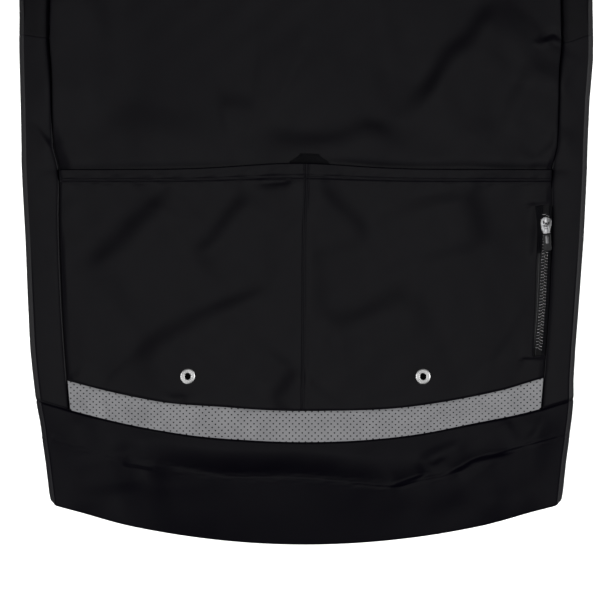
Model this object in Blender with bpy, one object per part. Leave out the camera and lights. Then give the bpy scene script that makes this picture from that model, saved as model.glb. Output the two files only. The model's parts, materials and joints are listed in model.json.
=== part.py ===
"""Softshell cycling jacket, size M, laid flat on its front with the back up.

Metres. +Z is up from the surface that the jacket lies on, +Y runs from the hem to the collar and
+X to the right as the back is seen. The origin is on that surface, under the middle of the jacket's box.

Heights along the jacket ("along" below) are measured from the lowest point of the tail. The body is
one flattened tube: each panel is a slice of it, and seams are left open by SEAM_GAP.
"""
import math
from collections import namedtuple

import bmesh
import bpy
from mathutils import Matrix, Vector

MM = 0.001

# ---- driving dimensions ----
WALL = 1.2 * MM                 # softshell cloth, one layer
HEM_WALL = 1.8 * MM             # the same cloth turned up and pressed
SEAM_GAP = 0.3 * MM
LENGTH = 800 * MM               # tail to the collar's side tips
FOLD_RADIUS = 3.1 * MM          # where a tube of cloth folds flat
CRISP_RADIUS = 1.5 * MM         # the same at the shoulders and the collar
REST_HEIGHT = 4.6 * MM          # outer face of the upper layer over the lower one
TAIL_RADIUS = 700 * MM          # curve of the tail, of the hem's seam and of the reflective band
HEM_STITCH = 55 * MM            # top of the turned-up hem, at the middle of the back
HEM_SEAM = 84.6 * MM
BAND_TOP = 111 * MM
POCKET_TOP = 314 * MM
MOUTH_RISE = 4.5 * MM           # the pocket's mouth stands up in the middle
MOUTH_GAPE = 1.5 * MM           # and stands off the back there
PATCH_WALL = 0.8 * MM           # knit patch behind the middle of the mouth
PATCH_TOP_HALF = 8.6 * MM
PATCH_FOOT_HALF = 21.5 * MM
PATCH_TUCK = 3.2 * MM           # how far it reaches down behind the mouth
FRONT_RISE = 50 * MM            # the front hem is this much shorter than the tail
UNDERARM_SEAM = 427 * MM
SIDE_SEAM_TOP = 518 * MM
SHOULDER = Vector((222 * MM, 700 * MM))
NECK = Vector((88.5 * MM, 745 * MM))
BACK_NECK_DEPTH = 20 * MM
FRONT_NECK_DEPTH = 77 * MM
COLLAR_NARROWS = 4 * MM
COLLAR_BACK_TOP = 783 * MM
COLLAR_FRONT_TOP = 730 * MM

SLOT_WIDTH = 12.5 * MM          # open slot of the zipped pocket, beside the side seam
SLOT_BOTTOM = 131 * MM          # levels, see back_along()
SLOT_TOP = 282 * MM
EYELET_X = 98 * MM
EYELET_LEVEL = 134.5 * MM
EYELET_HOLE = 3.5 * MM          # half the side of the hole in the cloth

CHAIN_HALF_WIDTH = 2.9 * MM
CHAIN_HALF_THICK = 0.9 * MM
TAPE_THICK = 1.0 * MM
TAPE_REACH = 15 * MM            # front zip tape, from the middle to its outer edge
ZIP_HALF_OPENING = 5.2 * MM     # front edges stand this far from the middle
ZIP_LIFT = 2.6 * MM             # the collar's front stands off the surface by the slider's thickness
MAIN_SLIDER_ALONG = 722 * MM
POCKET_SLIDER_LEVEL = 263 * MM

BodySection = namedtuple("BodySection", "along half_width side_seam")
BODY_SECTIONS = [BodySection(*(MM * value for value in row)) for row in (
    (0, 210.5, 187.0),
    (38, 214.4, 191.5),
    (86, 220.8, 195.8),
    (120, 225.0, 198.5),
    (165, 228.8, 202.0),
    (204, 231.1, 204.6),
    (270, 234.8, 206.8),
    (313, 236.9, 206.8),
    (335, 237.5, 211.2),
    (400, 240.2, 213.0),
    (427, 241.0, 214.8),
    (479, 241.0, 214.4),
    (518, 241.0, 212.9),
)]
UNDERARM = Vector((241.0 * MM, 479.0 * MM))

SleeveSection = namedtuple("SleeveSection", "name step heading line width")
# step and heading (degrees below +X) take the outer edge on to the next section;
# line is the section's own direction (degrees above +X), from the inner edge to the outer.
SLEEVE_SECTIONS = [
    SleeveSection("cap_upper", 72, 25, 79.0, 201),
    SleeveSection("cap_lower", 72, 34, 62.2, 187),
    SleeveSection("biceps", 72, 43, 44.5, 179),
    SleeveSection("upper_arm", 65, 48, 38.0, 170),
    SleeveSection("above_elbow", 65, 58, 28.0, 160),
    SleeveSection("elbow", 60, 68, 18.0, 151),
    SleeveSection("below_elbow", 60, 77, 9.0, 142),
    SleeveSection("forearm", 80, 84, 5.0, 124),
    SleeveSection("wrist", 75, 86, 4.0, 105),
    SleeveSection("cuff", 28, 86, 4.0, 99),
]
BACK_ARMHOLE_PULL = (Vector((196 * MM, 520 * MM)), Vector((180 * MM, 610 * MM)))
FRONT_ARMHOLE_PULL = (Vector((190 * MM, 520 * MM)), Vector((168 * MM, 610 * MM)))
ARMHOLE_STEPS = 8               # side seam meets the armhole after the first two
SIDE_STEPS = 2

Fold = namedtuple("Fold", "name x0 along0 x1 along1 width height")
FOLDS = [Fold(name, *(MM * value for value in row)) for name, row in (
    ("left_blade", (-190, 440, -166, 350, 20, -0.9)),
    ("left_small_of_back", (-125, 350, -80, 345, 26, 0.7)),
    ("right_blade", (143, 434, 96, 372, 18, -1.0)),
    ("right_underarm", (192, 420, 168, 360, 14, -0.8)),
    ("waist", (-33, 343, 74, 345, 12, -0.5)),
    ("pocket_left", (-125, 290, -172, 238, 20, -0.5)),
    ("pocket_long", (-25, 215, -150, 145, 18, -0.5)),
    ("pocket_right", (10, 300, 50, 268, 16, -0.4)),
    ("upper_back_left", (-110, 640, -60, 560, 26, -0.8)),
    ("upper_back_right", (120, 650, 60, 540, 24, -0.8)),
)]

Finish = namedtuple("Finish", "name colour roughness metallic")
SOFTSHELL = Finish("softshell", (0.011, 0.011, 0.013), 0.85, 0.0)
STRETCH_KNIT = Finish("stretch_knit", (0.007, 0.007, 0.009), 0.92, 0.0)
REFLECTIVE = Finish("reflective_tape", (0.21, 0.21, 0.22), 0.45, 0.1)
RING_METAL = Finish("ring_metal", (0.58, 0.58, 0.58), 0.35, 0.8)
ZIP_METAL = Finish("zip_metal", (0.80, 0.80, 0.80), 0.2, 1.0)
ZIP_TAPE = Finish("zip_tape", (0.009, 0.009, 0.011), 0.9, 0.0)
ZIP_TEETH = Finish("zip_teeth", (0.03, 0.03, 0.035), 0.4, 0.0)
PULL_RUBBER = Finish("pull_rubber", (0.012, 0.012, 0.013), 0.6, 0.0)

Surface = namedtuple("Surface", "points normals")
SPLIT_TOWARDS = Vector((1.0, 2.0, 0.5))     # square to no seam


# ---- small mathematics ----

def smooth(t):
    """0 below t = 0, 1 above t = 1, with a soft start and end."""
    t = min(1.0, max(0.0, t))
    return t * t * (3.0 - 2.0 * t)


def lerp(a, b, t):
    return a + (b - a) * t


def read(sections, column, along):
    """A column of a table of sections at any height, as a smooth curve through its rows."""
    rows = [(section.along, getattr(section, column)) for section in sections]
    if along <= rows[0][0]:
        return rows[0][1]
    if along >= rows[-1][0]:
        return rows[-1][1]
    last = len(rows) - 1
    i = max(k for k in range(last) if rows[k][0] <= along)

    def slope(k):
        low, high = rows[max(0, k - 1)], rows[min(last, k + 1)]
        return (high[1] - low[1]) / (high[0] - low[0])

    span = rows[i + 1][0] - rows[i][0]
    t = (along - rows[i][0]) / span
    return ((2 * t**3 - 3 * t**2 + 1) * rows[i][1] + (t**3 - 2 * t**2 + t) * span * slope(i)
            + (3 * t**2 - 2 * t**3) * rows[i + 1][1] + (t**3 - t**2) * span * slope(i + 1))


def half_width(along):
    return read(BODY_SECTIONS, "half_width", along)


def side_seam(along):
    return read(BODY_SECTIONS, "side_seam", along)


def bezier(p0, p1, p2, p3, t):
    s = 1.0 - t
    return p0 * s**3 + p1 * (3 * s * s * t) + p2 * (3 * s * t * t) + p3 * t**3


def distance_to_segment(x, y, x0, y0, x1, y1):
    dx, dy = x1 - x0, y1 - y0
    t = ((x - x0) * dx + (y - y0) * dy) / (dx * dx + dy * dy)
    t = min(1.0, max(0.0, t))
    return math.hypot(x - x0 - t * dx, y - y0 - t * dy)


# ---- the flattened body: where a level runs, and how high each layer lies ----

def back_along(level, x):
    """Height along the jacket of a level on the back: curved like the tail up to the band,
    straight from the pocket's mouth on."""
    curve = x * x / (2 * TAIL_RADIUS)
    level_out = 1.0 - smooth((level - BAND_TOP) / (POCKET_TOP - BAND_TOP))
    mouth = math.exp(-(x / (60 * MM))**2 - ((level - POCKET_TOP) / (12 * MM))**2)
    return level + curve * level_out + MOUTH_RISE * mouth


def fold_along(level):
    """The same at the side fold, where back and front meet."""
    along = level
    for _ in range(4):
        along = back_along(level, half_width(along))
    return along


def front_along(level, x):
    """The same on the front, which is shorter at the hem."""
    at_fold = fold_along(level)
    width = half_width(at_fold)
    in_middle = level + FRONT_RISE * (1.0 - smooth(level / (420 * MM)))
    return lerp(in_middle, at_fold, min(1.0, abs(x) / width)**2)


def shoulder_distance(x, along):
    x = abs(x)
    return distance_to_segment(x, along, NECK.x, NECK.y, SHOULDER.x, SHOULDER.y)


def near_neck(x, along):
    """1 round the top of the front zip, 0 away from it."""
    return smooth((along - 600 * MM) / (65 * MM)) * (1.0 - smooth((abs(x) - 40 * MM) / (42 * MM)))


def lower_height(x, along):
    """Outer (lower) face of the front: flat on the surface, lifted at the neck by the zip's slider."""
    return ZIP_LIFT * near_neck(x, along)


def resting_height(x, along):
    """Outer face of the back over the front, before its folds."""
    under_pocket = smooth((along - 95 * MM) / (30 * MM)) * (1.0 - smooth((along - 290 * MM) / (30 * MM)))
    over_hem = 1.0 - smooth((along - 80 * MM) / (25 * MM))
    over_zip = math.exp(-(x / (26 * MM))**2)
    height = REST_HEIGHT + 3.4 * MM * near_neck(x, along) - 1.1 * MM * under_pocket
    height += (0.6 + 0.6 * under_pocket + 1.0 * over_hem) * MM * over_zip
    groove_depth = lerp(0.3, 1.4, smooth((along - POCKET_TOP) / (25 * MM))) * MM
    from_seam = abs(x) - side_seam(along)
    in_body = 1.0 - smooth((along - 490 * MM) / (40 * MM))
    return height - groove_depth * in_body * math.exp(-(from_seam / (7 * MM))**2)


def hem_height(x, along):
    """The sag above the turned-up hem and the ridge along its top edge."""
    level = along - x * x / (2 * TAIL_RADIUS)
    valley = -0.9 * MM * math.exp(-((level - 68 * MM) / (8 * MM))**2)
    ridge = 0.5 * MM * math.exp(-((level - HEM_STITCH) / (7 * MM))**2)
    return (valley + ridge) * (1.0 - smooth((level - 80 * MM) / (12 * MM)))


def upper_height(x, along):
    """Outer (upper) face of the back."""
    height = resting_height(x, along) + hem_height(x, along)
    for fold in FOLDS:
        away = distance_to_segment(x, along, fold.x0, fold.along0, fold.x1, fold.along1)
        height += fold.height * math.exp(-(away / fold.width)**2)
    past_front_hem = front_along(0.0, x) - along
    height = lerp(height, HEM_WALL, smooth(past_front_hem / (28 * MM)))
    from_fold = math.hypot(max(0.0, half_width(along) - FOLD_RADIUS - abs(x)), max(0.0, along - UNDERARM.y))
    height = lerp(height, 2 * FOLD_RADIUS, math.exp(-(from_fold / (16 * MM))**2))
    return lerp(height, 2 * CRISP_RADIUS, math.exp(-(shoulder_distance(x, along) / (14 * MM))**2))


def place(x, along, z):
    return Vector((x, along - LENGTH / 2, z))


def fold_arc(centre, outward, radius, steps):
    """Points round a fold, from the upper layer to the lower, without the two ends.
    centre is where the flat layers end, in (x, along)."""
    points = []
    for k in range(1, steps):
        angle = math.pi * (0.5 - k / steps)
        at = centre + outward * (radius * math.cos(angle))
        points.append(place(at.x, at.y, radius * (1.0 + math.sin(angle))))
    return points


# ---- cloth walls from grids ----

def surface(points, closed=False):
    """A grid of points, rows along and columns across, with the outward normal at each."""
    last_row, last_col = len(points) - 1, len(points[0]) - 1

    def across(i, j):
        if closed:
            return points[i][(j + 1) % (last_col + 1)] - points[i][j - 1]
        return points[i][min(last_col, j + 1)] - points[i][max(0, j - 1)]

    def along(i, j):
        return points[min(last_row, i + 1)][j] - points[max(0, i - 1)][j]

    normals = [[across(i, j).cross(along(i, j)).normalized() for j in range(last_col + 1)]
               for i in range(last_row + 1)]
    return Surface(points, normals)


def slice_of(whole, rows, cols):
    return Surface([[whole.points[i][j] for j in cols] for i in rows],
                   [[whole.normals[i][j] for j in cols] for i in rows])


def mirrored(whole):
    """The left-hand twin of a right-hand surface."""
    def flip(rows):
        return [[Vector((-p.x, p.y, p.z)) for p in reversed(row)] for row in rows]
    return Surface(flip(whole.points), flip(whole.normals))


def moved_out(whole, distance):
    """The surface moved along its normals; distance is a number or a function of a point."""
    def step(p):
        return distance(p) if callable(distance) else distance
    return Surface([[p + n * step(p) for p, n in zip(*rows)] for rows in zip(whole.points, whole.normals)],
                   whole.normals)


def seamed(whole, closed=False):
    """The surface drawn in by half a seam gap, measured square to the seam, on its edges."""
    flat = whole.points
    points = [[p.copy() for p in row] for row in flat]
    last_row, last_col = len(flat) - 1, len(flat[0]) - 1

    def draw_in(i, j, neighbour, before, after):
        inward = (neighbour - flat[i][j]).normalized()
        seam = (after - before).normalized()
        points[i][j] += inward * (SEAM_GAP / 2 / max(0.35, inward.cross(seam).length))

    for j in range(last_col + 1):
        before, after = max(0, j - 1), min(last_col, j + 1)
        if closed:
            before, after = j - 1, (j + 1) % (last_col + 1)
        draw_in(0, j, flat[1][j], flat[0][before], flat[0][after])
        draw_in(last_row, j, flat[-2][j], flat[-1][before], flat[-1][after])
    if not closed:
        for i in range(last_row + 1):
            before, after = max(0, i - 1), min(last_row, i + 1)
            draw_in(i, 0, flat[i][1], flat[before][0], flat[after][0])
            draw_in(i, last_col, flat[i][-2], flat[before][-1], flat[after][-1])
    return Surface(points, whole.normals)


def material(finish):
    made = bpy.data.materials.get(finish.name)
    if made is None:
        made = bpy.data.materials.new(finish.name)
        made.use_nodes = True
        shader = made.node_tree.nodes["Principled BSDF"]
        shader.inputs["Base Color"].default_value = (*finish.colour, 1.0)
        shader.inputs["Roughness"].default_value = finish.roughness
        shader.inputs["Metallic"].default_value = finish.metallic
    return made


def new_object(name, vertices, faces, finish):
    mesh = bpy.data.meshes.new(name)
    mesh.from_pydata(vertices, [], faces)
    mesh.validate()
    mesh.materials.append(material(finish))
    made = bpy.data.objects.new(name, mesh)
    bpy.context.scene.collection.objects.link(made)
    mesh.shade_smooth()
    mesh.set_sharp_from_angle(angle=math.radians(40))
    return made


def wall(name, outer, finish, thick=WALL, closed=False, missing=()):
    """A closed solid between a surface and its inner face. thick is one number or one for each row;
    missing holds the (row, column) cells that are cut out."""
    rows, cols = len(outer.points), len(outer.points[0])
    depth = thick if isinstance(thick, list) else [thick] * rows
    vertices = [p for row in outer.points for p in row]
    vertices += [outer.points[i][j] - outer.normals[i][j] * depth[i] for i in range(rows) for j in range(cols)]
    inner = rows * cols
    cells = [(i, j) for i in range(rows - 1) for j in range(cols if closed else cols - 1)
             if (i, j) not in missing]
    faces = []
    border = {}
    for i, j in cells:
        a, b = i * cols + j, i * cols + (j + 1) % cols
        c, d = b + cols, a + cols
        faces += [(a, b, c), (a, c, d), (inner + c, inner + b, inner + a), (inner + d, inner + c, inner + a)]
        for edge in ((a, b), (b, c), (c, d), (d, a)):
            if (edge[1], edge[0]) in border:
                del border[(edge[1], edge[0])]
            else:
                border[edge] = True
    for a, b in border:
        # Both sides of a seam split their edge faces along the same diagonal.
        if (vertices[b] - vertices[a]).dot(SPLIT_TOWARDS) > 0:
            faces += [(b, a, inner + a), (b, inner + a, inner + b)]
        else:
            faces += [(b, a, inner + b), (a, inner + a, inner + b)]
    used = sorted({index for face in faces for index in face})
    renumber = {old: new for new, old in enumerate(used)}
    return new_object(name, [vertices[k] for k in used], [[renumber[k] for k in face] for face in faces], finish)


def both_sides(name, right, finish, **options):
    wall(name + "_right", right, finish, **options)
    wall(name + "_left", mirrored(right), finish, **options)


# ---- the grids of the body ----

HEM_LEVELS = [level * MM for level in (0, 12, 25, 40, 55, 66, 76)] + [HEM_SEAM]
PANEL_LEVELS = [HEM_SEAM, BAND_TOP, EYELET_LEVEL - EYELET_HOLE, EYELET_LEVEL + EYELET_HOLE,
                170 * MM, 210 * MM, 246 * MM, SLOT_TOP, POCKET_TOP, 324 * MM, 345 * MM, 375 * MM,
                405 * MM, UNDERARM_SEAM, 460 * MM, 490 * MM, SIDE_SEAM_TOP]
TUBE_LEVELS = HEM_LEVELS + PANEL_LEVELS[1:PANEL_LEVELS.index(UNDERARM_SEAM) + 1]
EYELET_COLUMNS = ((EYELET_X - EYELET_HOLE) / side_seam(141 * MM), (EYELET_X + EYELET_HOLE) / side_seam(141 * MM))
NECK_SHARE = NECK.x / SHOULDER.x
BACK_SHARES = [0.0, NECK_SHARE / 3, NECK_SHARE * 2 / 3, NECK_SHARE, *EYELET_COLUMNS, 0.61, 0.75, 0.86]
FRONT_SHARES = [0.0, 0.1, 0.2, 0.3, (NECK.x - ZIP_HALF_OPENING) / (SHOULDER.x - ZIP_HALF_OPENING), 0.7, 1.0]
NECK_FRONT_COLUMNS = 5          # front columns that reach the neck
SIDE_COLUMNS = 3                # side panel's flat columns on each layer, seam and fold included
FOLD_STEPS = 4
HORIZONTAL = Vector((1.0, 0.0))


def back_columns(along, edge):
    """x of the right half's columns on the back, from the middle to the edge. The last but one is the
    inner edge of the zip's slot, and spreads a little above the pocket's mouth."""
    spread = lerp(1.0, 1.25, smooth((along - POCKET_TOP) / (60 * MM)))
    return [share * edge for share in BACK_SHARES] + [edge - SLOT_WIDTH * spread, edge]


def front_columns(edge):
    return [lerp(ZIP_HALF_OPENING, edge, share) for share in FRONT_SHARES]


def tube_row(level):
    """One ring of the body's tube, right half: middle of the back, side fold, front zip."""
    at_fold = fold_along(level)
    corner = 4 * MM * max(0.0, 1.0 - level / (12 * MM))
    seam_along = back_along(level, side_seam(at_fold))
    seam = side_seam(seam_along)
    fold_x = half_width(at_fold) - FOLD_RADIUS
    points = []
    for x in back_columns(seam_along, seam):
        along = back_along(level, x)
        points.append(place(x, along, upper_height(x, along)))
    for k in range(1, SIDE_COLUMNS):
        x = lerp(seam, fold_x, k / (SIDE_COLUMNS - 1))
        along = back_along(level, x) + corner * (k // (SIDE_COLUMNS - 1))
        points.append(place(x, along, upper_height(x, along)))
    rim = fold_arc(Vector((fold_x, at_fold + corner)), HORIZONTAL, FOLD_RADIUS, FOLD_STEPS)
    points += rim
    flat = [lerp(fold_x, seam, k / (SIDE_COLUMNS - 1)) for k in range(SIDE_COLUMNS - 1)]
    flat += list(reversed(front_columns(seam)))
    for x in flat:
        along = front_along(level, x) + corner * (x == fold_x)
        points.append(place(x, along, lower_height(x, along)))
    return points


def whole_ring(right_half):
    """Left zip edge, left fold, back, right fold, right zip edge."""
    left = [Vector((-p.x, p.y, p.z)) for p in reversed(right_half)]
    return left + right_half[1:]


def armhole(pull, upper):
    """Points of the armhole seam on one layer, from the underarm to the shoulder."""
    outward = underarm_outward()
    start = UNDERARM - outward * FOLD_RADIUS
    end = Vector((SHOULDER.x - CRISP_RADIUS * 0.34, SHOULDER.y - CRISP_RADIUS * 0.94))
    points = []
    for k in range(ARMHOLE_STEPS + 1):
        at = bezier(start, *pull, end, k / ARMHOLE_STEPS)
        height = upper_height(at.x, at.y) if upper else lower_height(at.x, at.y)
        points.append(place(at.x, at.y, height))
    return points


def underarm_outward():
    """Plan direction in which the seam leaves the body at the underarm."""
    return Vector((0.736, -0.677)).normalized()


def neck_seam(x, depth):
    share = min(1.0, abs(x) / NECK.x)
    return NECK.y - depth * (1.0 - share * share)**0.8


def top_edge(x, neck_depth):
    """The neck seam and, beyond it, the shoulder seam."""
    if abs(x) <= NECK.x:
        return neck_seam(x, neck_depth)
    share = (abs(x) - NECK.x) / (SHOULDER.x - NECK.x)
    return lerp(NECK.y, SHOULDER.y, share)


def shoulder_rows(columns_at, seam_points, neck_depth, upper):
    """Right half of the rows of a panel from the side seam's top up to the neck and shoulder."""
    first, last = seam_points[SIDE_STEPS], seam_points[-1]
    rows = []
    for k in range(SIDE_STEPS, ARMHOLE_STEPS + 1):
        edge = seam_points[k]
        share = (edge.y - first.y) / (last.y - first.y)
        row = []
        for x in columns_at(edge.x):
            along = lerp(SIDE_SEAM_TOP, top_edge(x, neck_depth), share)
            row.append(place(x, along, upper_height(x, along) if upper else lower_height(x, along)))
        row[-1] = edge.copy()
        rows.append(row)
    return rows


def build_body():
    """Hem band, side panels, underarm panels, back, fronts, and what is sewn on the back."""
    tube = surface([whole_ring(tube_row(level)) for level in TUBE_LEVELS])
    half = len(tube.points[0]) // 2
    back_half = len(BACK_SHARES) + 1
    side = 2 * (SIDE_COLUMNS - 1) + FOLD_STEPS
    back_cols = range(half - back_half, half + back_half + 1)
    side_cols = range(half + back_half, half + back_half + side + 1)
    front_cols = range(half + back_half + side, len(tube.points[0]))
    hem_rows = range(0, len(HEM_LEVELS))
    panel_rows = range(len(HEM_LEVELS) - 1, len(TUBE_LEVELS))

    every_col = range(len(tube.points[0]))
    turned_up = [HEM_WALL if level <= HEM_STITCH else WALL for level in HEM_LEVELS]
    wall("hem_band", seamed(slice_of(tube, hem_rows, every_col)), SOFTSHELL, thick=turned_up)
    both_sides("side_panel", seamed(slice_of(tube, panel_rows, side_cols)), SOFTSHELL)

    upper_seam = armhole(BACK_ARMHOLE_PULL, upper=True)
    lower_seam = armhole(FRONT_ARMHOLE_PULL, upper=False)
    arc = fold_arc(UNDERARM - underarm_outward() * FOLD_RADIUS, underarm_outward(), FOLD_RADIUS, FOLD_STEPS)
    gusset_top = list(reversed(upper_seam[:SIDE_STEPS + 1])) + arc + lower_seam[:SIDE_STEPS + 1]
    gusset = surface(gusset_rows([tube.points[-1][j] for j in side_cols], gusset_top))
    both_sides("underarm_panel", seamed(gusset), STRETCH_KNIT)

    back = surface(back_rows(slice_of(tube, panel_rows, back_cols).points, gusset, upper_seam))
    wall("back_panel", seamed(back), SOFTSHELL)
    front = surface(front_rows(slice_of(tube, panel_rows, front_cols).points, gusset, lower_seam))
    both_sides("front", seamed(front), SOFTSHELL)
    build_pocket(back)
    return tube, back, front, gusset_top


def gusset_rows(lower, upper):
    """Rows of the right underarm panel between the side panel and the armhole."""
    rows = []
    levels = [UNDERARM_SEAM] + PANEL_LEVELS[PANEL_LEVELS.index(UNDERARM_SEAM) + 1:]
    for level in levels:
        share = (level - UNDERARM_SEAM) / (SIDE_SEAM_TOP - UNDERARM_SEAM)
        rows.append([lerp(low, high, share) for low, high in zip(lower, upper)])
    return rows


def back_rows(lower_rows, gusset, seam_points):
    """The whole back: rows of the tube, rows beside the gusset, rows beside the armhole."""
    rows = list(lower_rows)
    for gusset_row in gusset.points[1:-1]:
        edge = gusset_row[0]
        along = edge.y + LENGTH / 2
        half = []
        for x in back_columns(along, edge.x):
            half.append(place(x, along, upper_height(x, along)))
        half[-1] = edge.copy()
        rows.append(whole_ring(half))

    def columns_at(edge):
        return back_columns(SIDE_SEAM_TOP, edge)

    rows += [whole_ring(row) for row in shoulder_rows(columns_at, seam_points, BACK_NECK_DEPTH, upper=True)]
    return rows


def front_rows(lower_rows, gusset, seam_points):
    """The right front, columns from the side seam to the zip."""
    rows = list(lower_rows)
    for gusset_row in gusset.points[1:-1]:
        edge = gusset_row[-1]
        along = edge.y + LENGTH / 2
        row = [place(x, along, lower_height(x, along)) for x in reversed(front_columns(edge.x))]
        row[0] = edge.copy()
        rows.append(row)
    upper = shoulder_rows(front_columns, seam_points, FRONT_NECK_DEPTH, upper=False)
    return rows + [list(reversed(row)) for row in upper]


# ---- pocket, reflective band and eyelets, on the back ----

def pocket_fullness(p):
    """The pocket's outer face above the back's: its cloth, the gap and room at the mouth for the patch."""
    along = p.y + LENGTH / 2
    mouth = math.exp(-(p.x / (60 * MM))**2 - ((along - POCKET_TOP) / (45 * MM))**2)
    return WALL + SEAM_GAP + MOUTH_GAPE * mouth


def build_pocket(back):
    columns = range(len(back.points[0]))
    level_row = {level: row for row, level in enumerate(PANEL_LEVELS)}
    band = slice_of(back, range(level_row[HEM_SEAM], level_row[BAND_TOP] + 1), columns)
    wall("reflective_band", seamed(moved_out(band, WALL + SEAM_GAP)), REFLECTIVE)

    pocket_rows = range(level_row[BAND_TOP], level_row[POCKET_TOP] + 1)
    pocket = slice_of(back, pocket_rows, columns)
    eyelet_row = level_row[EYELET_LEVEL - EYELET_HOLE] - level_row[BAND_TOP]
    slot_row = level_row[SLOT_TOP] - level_row[BAND_TOP]
    middle = len(columns) // 2
    eyelet_col = BACK_SHARES.index(EYELET_COLUMNS[0])
    eyelet_cells = {"right": (eyelet_row, middle + eyelet_col), "left": (eyelet_row, middle - eyelet_col - 1)}
    slot_cells = [(i, len(columns) - 2) for i in range(eyelet_row, slot_row)]
    pocket = moved_out(pocket, pocket_fullness)
    wall("pocket_panel", seamed(pocket), SOFTSHELL, missing=[*eyelet_cells.values(), *slot_cells])
    for side, (i, j) in eyelet_cells.items():
        corners = [pocket.points[i + di][j + dj] for di in (0, 1) for dj in (0, 1)]
        build_eyelet("eyelet_" + side, sum(corners, Vector()) / 4)
    build_patch(back, level_row[POCKET_TOP])


def build_patch(back, mouth_row):
    """The patch on the back that shows above the middle of the pocket's mouth, and reaches behind it."""
    middle = len(back.points[0]) // 2
    below, mouth, above = (back.points[mouth_row + k] for k in (-1, 0, 1))
    tuck = PATCH_TUCK / (POCKET_TOP - SLOT_TOP)
    foot = [lerp(high, low, tuck) for high, low in zip(mouth, below)]
    points = []
    for row, half in ((foot, PATCH_FOOT_HALF), (mouth, PATCH_FOOT_HALF), (above, PATCH_TOP_HALF)):
        shares = [half * k / 3 / abs(row[middle + 1].x) for k in range(4)]
        left = [lerp(row[middle], row[middle - 1], share) for share in reversed(shares[1:])]
        points.append(left + [lerp(row[middle], row[middle + 1], share) for share in shares])
    wall("pocket_patch", moved_out(surface(points), PATCH_WALL + SEAM_GAP), STRETCH_KNIT, thick=PATCH_WALL)


def build_eyelet(name, at):
    """A press-in ring: a flange on the pocket and a short barrel through it."""
    bore, barrel, flange = 2.65 * MM, 3.1 * MM, 6.1 * MM
    seat, crown, foot = 0.35 * MM, 1.3 * MM, -1.1 * MM
    profile = [(bore, foot), (barrel, foot), (barrel, seat), (flange, seat),
               (flange, seat + 0.3 * MM), (flange - 0.8 * MM, crown - 0.2 * MM),
               (bore + 0.8 * MM, crown), (bore, crown - 0.4 * MM)]
    steps = 20
    vertices = []
    for k in range(steps):
        angle = 2 * math.pi * k / steps
        for radius, height in profile:
            vertices.append(at + Vector((radius * math.cos(angle), radius * math.sin(angle), height)))
    count = len(profile)
    faces = []
    for k in range(steps):
        here, there = k * count, (k + 1) % steps * count
        for m in range(count):
            n = (m + 1) % count
            faces.append((here + m, there + m, there + n, here + n))
    return new_object(name, vertices, faces, RING_METAL)


# ---- collar and sleeves ----

def collar_point(x, share, upper):
    """A point of the collar: share runs from the neck seam to the top edge."""
    across = abs(x) / NECK.x
    depth, low_top = (BACK_NECK_DEPTH, COLLAR_BACK_TOP) if upper else (FRONT_NECK_DEPTH, COLLAR_FRONT_TOP)
    bottom = neck_seam(x, depth)
    along = lerp(bottom, lerp(low_top, LENGTH, across**2), share)
    at_x = x * (1.0 - COLLAR_NARROWS / NECK.x * share)
    if not upper:
        return place(at_x, along, lower_height(at_x, along))
    from_fold = NECK.x - abs(x)
    height = resting_height(at_x, min(along, NECK.y))
    height = lerp(height, 2 * CRISP_RADIUS, math.exp(-(from_fold / (14 * MM))**2))
    return place(at_x, along, height if share > 0 else upper_height(x, bottom))


def build_collar():
    heights = [k / 4 for k in range(5)]
    back_x = [share * SHOULDER.x for share in BACK_SHARES[:4]]
    front_x = front_columns(SHOULDER.x)[:NECK_FRONT_COLUMNS]
    rows = []
    for share in heights:
        row = [collar_point(x, share, upper=True) for x in back_x]
        edge = row[-1]
        row += fold_arc(Vector((edge.x, edge.y + LENGTH / 2)), HORIZONTAL, CRISP_RADIUS, FOLD_STEPS)
        row += [collar_point(x, share, upper=False) for x in reversed(front_x)]
        rows.append(whole_ring(row))
    collar = surface(rows)
    wall("collar", seamed(collar), SOFTSHELL)
    return collar


def sleeve_height(inner_distance, outer_distance):
    near_edge = math.exp(-(inner_distance / (16 * MM))**2) + math.exp(-(outer_distance / (16 * MM))**2)
    return lerp(REST_HEIGHT, 2 * FOLD_RADIUS, min(1.0, near_edge))


def build_sleeves(gusset_top):
    """One flattened tube each, from the armhole seam to the cuff."""
    upper_seam = armhole(BACK_ARMHOLE_PULL, upper=True)
    lower_seam = armhole(FRONT_ARMHOLE_PULL, upper=False)
    underarm_arc = gusset_top[SIDE_STEPS + 1:SIDE_STEPS + FOLD_STEPS]
    slope = math.atan2(NECK.y - SHOULDER.y, SHOULDER.x - NECK.x)
    shoulder_out = Vector((math.sin(slope), math.cos(slope)))
    shoulder_end = Vector((upper_seam[-1].x, upper_seam[-1].y + LENGTH / 2))
    shoulder_arc = fold_arc(shoulder_end, shoulder_out, CRISP_RADIUS, FOLD_STEPS)
    rings = [list(reversed(upper_seam)) + underarm_arc + lower_seam + list(reversed(shoulder_arc))]
    outer = SHOULDER.copy()
    for section in SLEEVE_SECTIONS:
        heading, line = math.radians(section.heading), math.radians(section.line)
        outer += Vector((math.cos(heading), -math.sin(heading))) * (section.step * MM)
        rings.append(sleeve_ring(outer, Vector((math.cos(line), math.sin(line))), section.width * MM))
    sleeve = surface(rings, closed=True)
    both_sides("sleeve", seamed(sleeve, closed=True), SOFTSHELL, closed=True)


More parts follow.
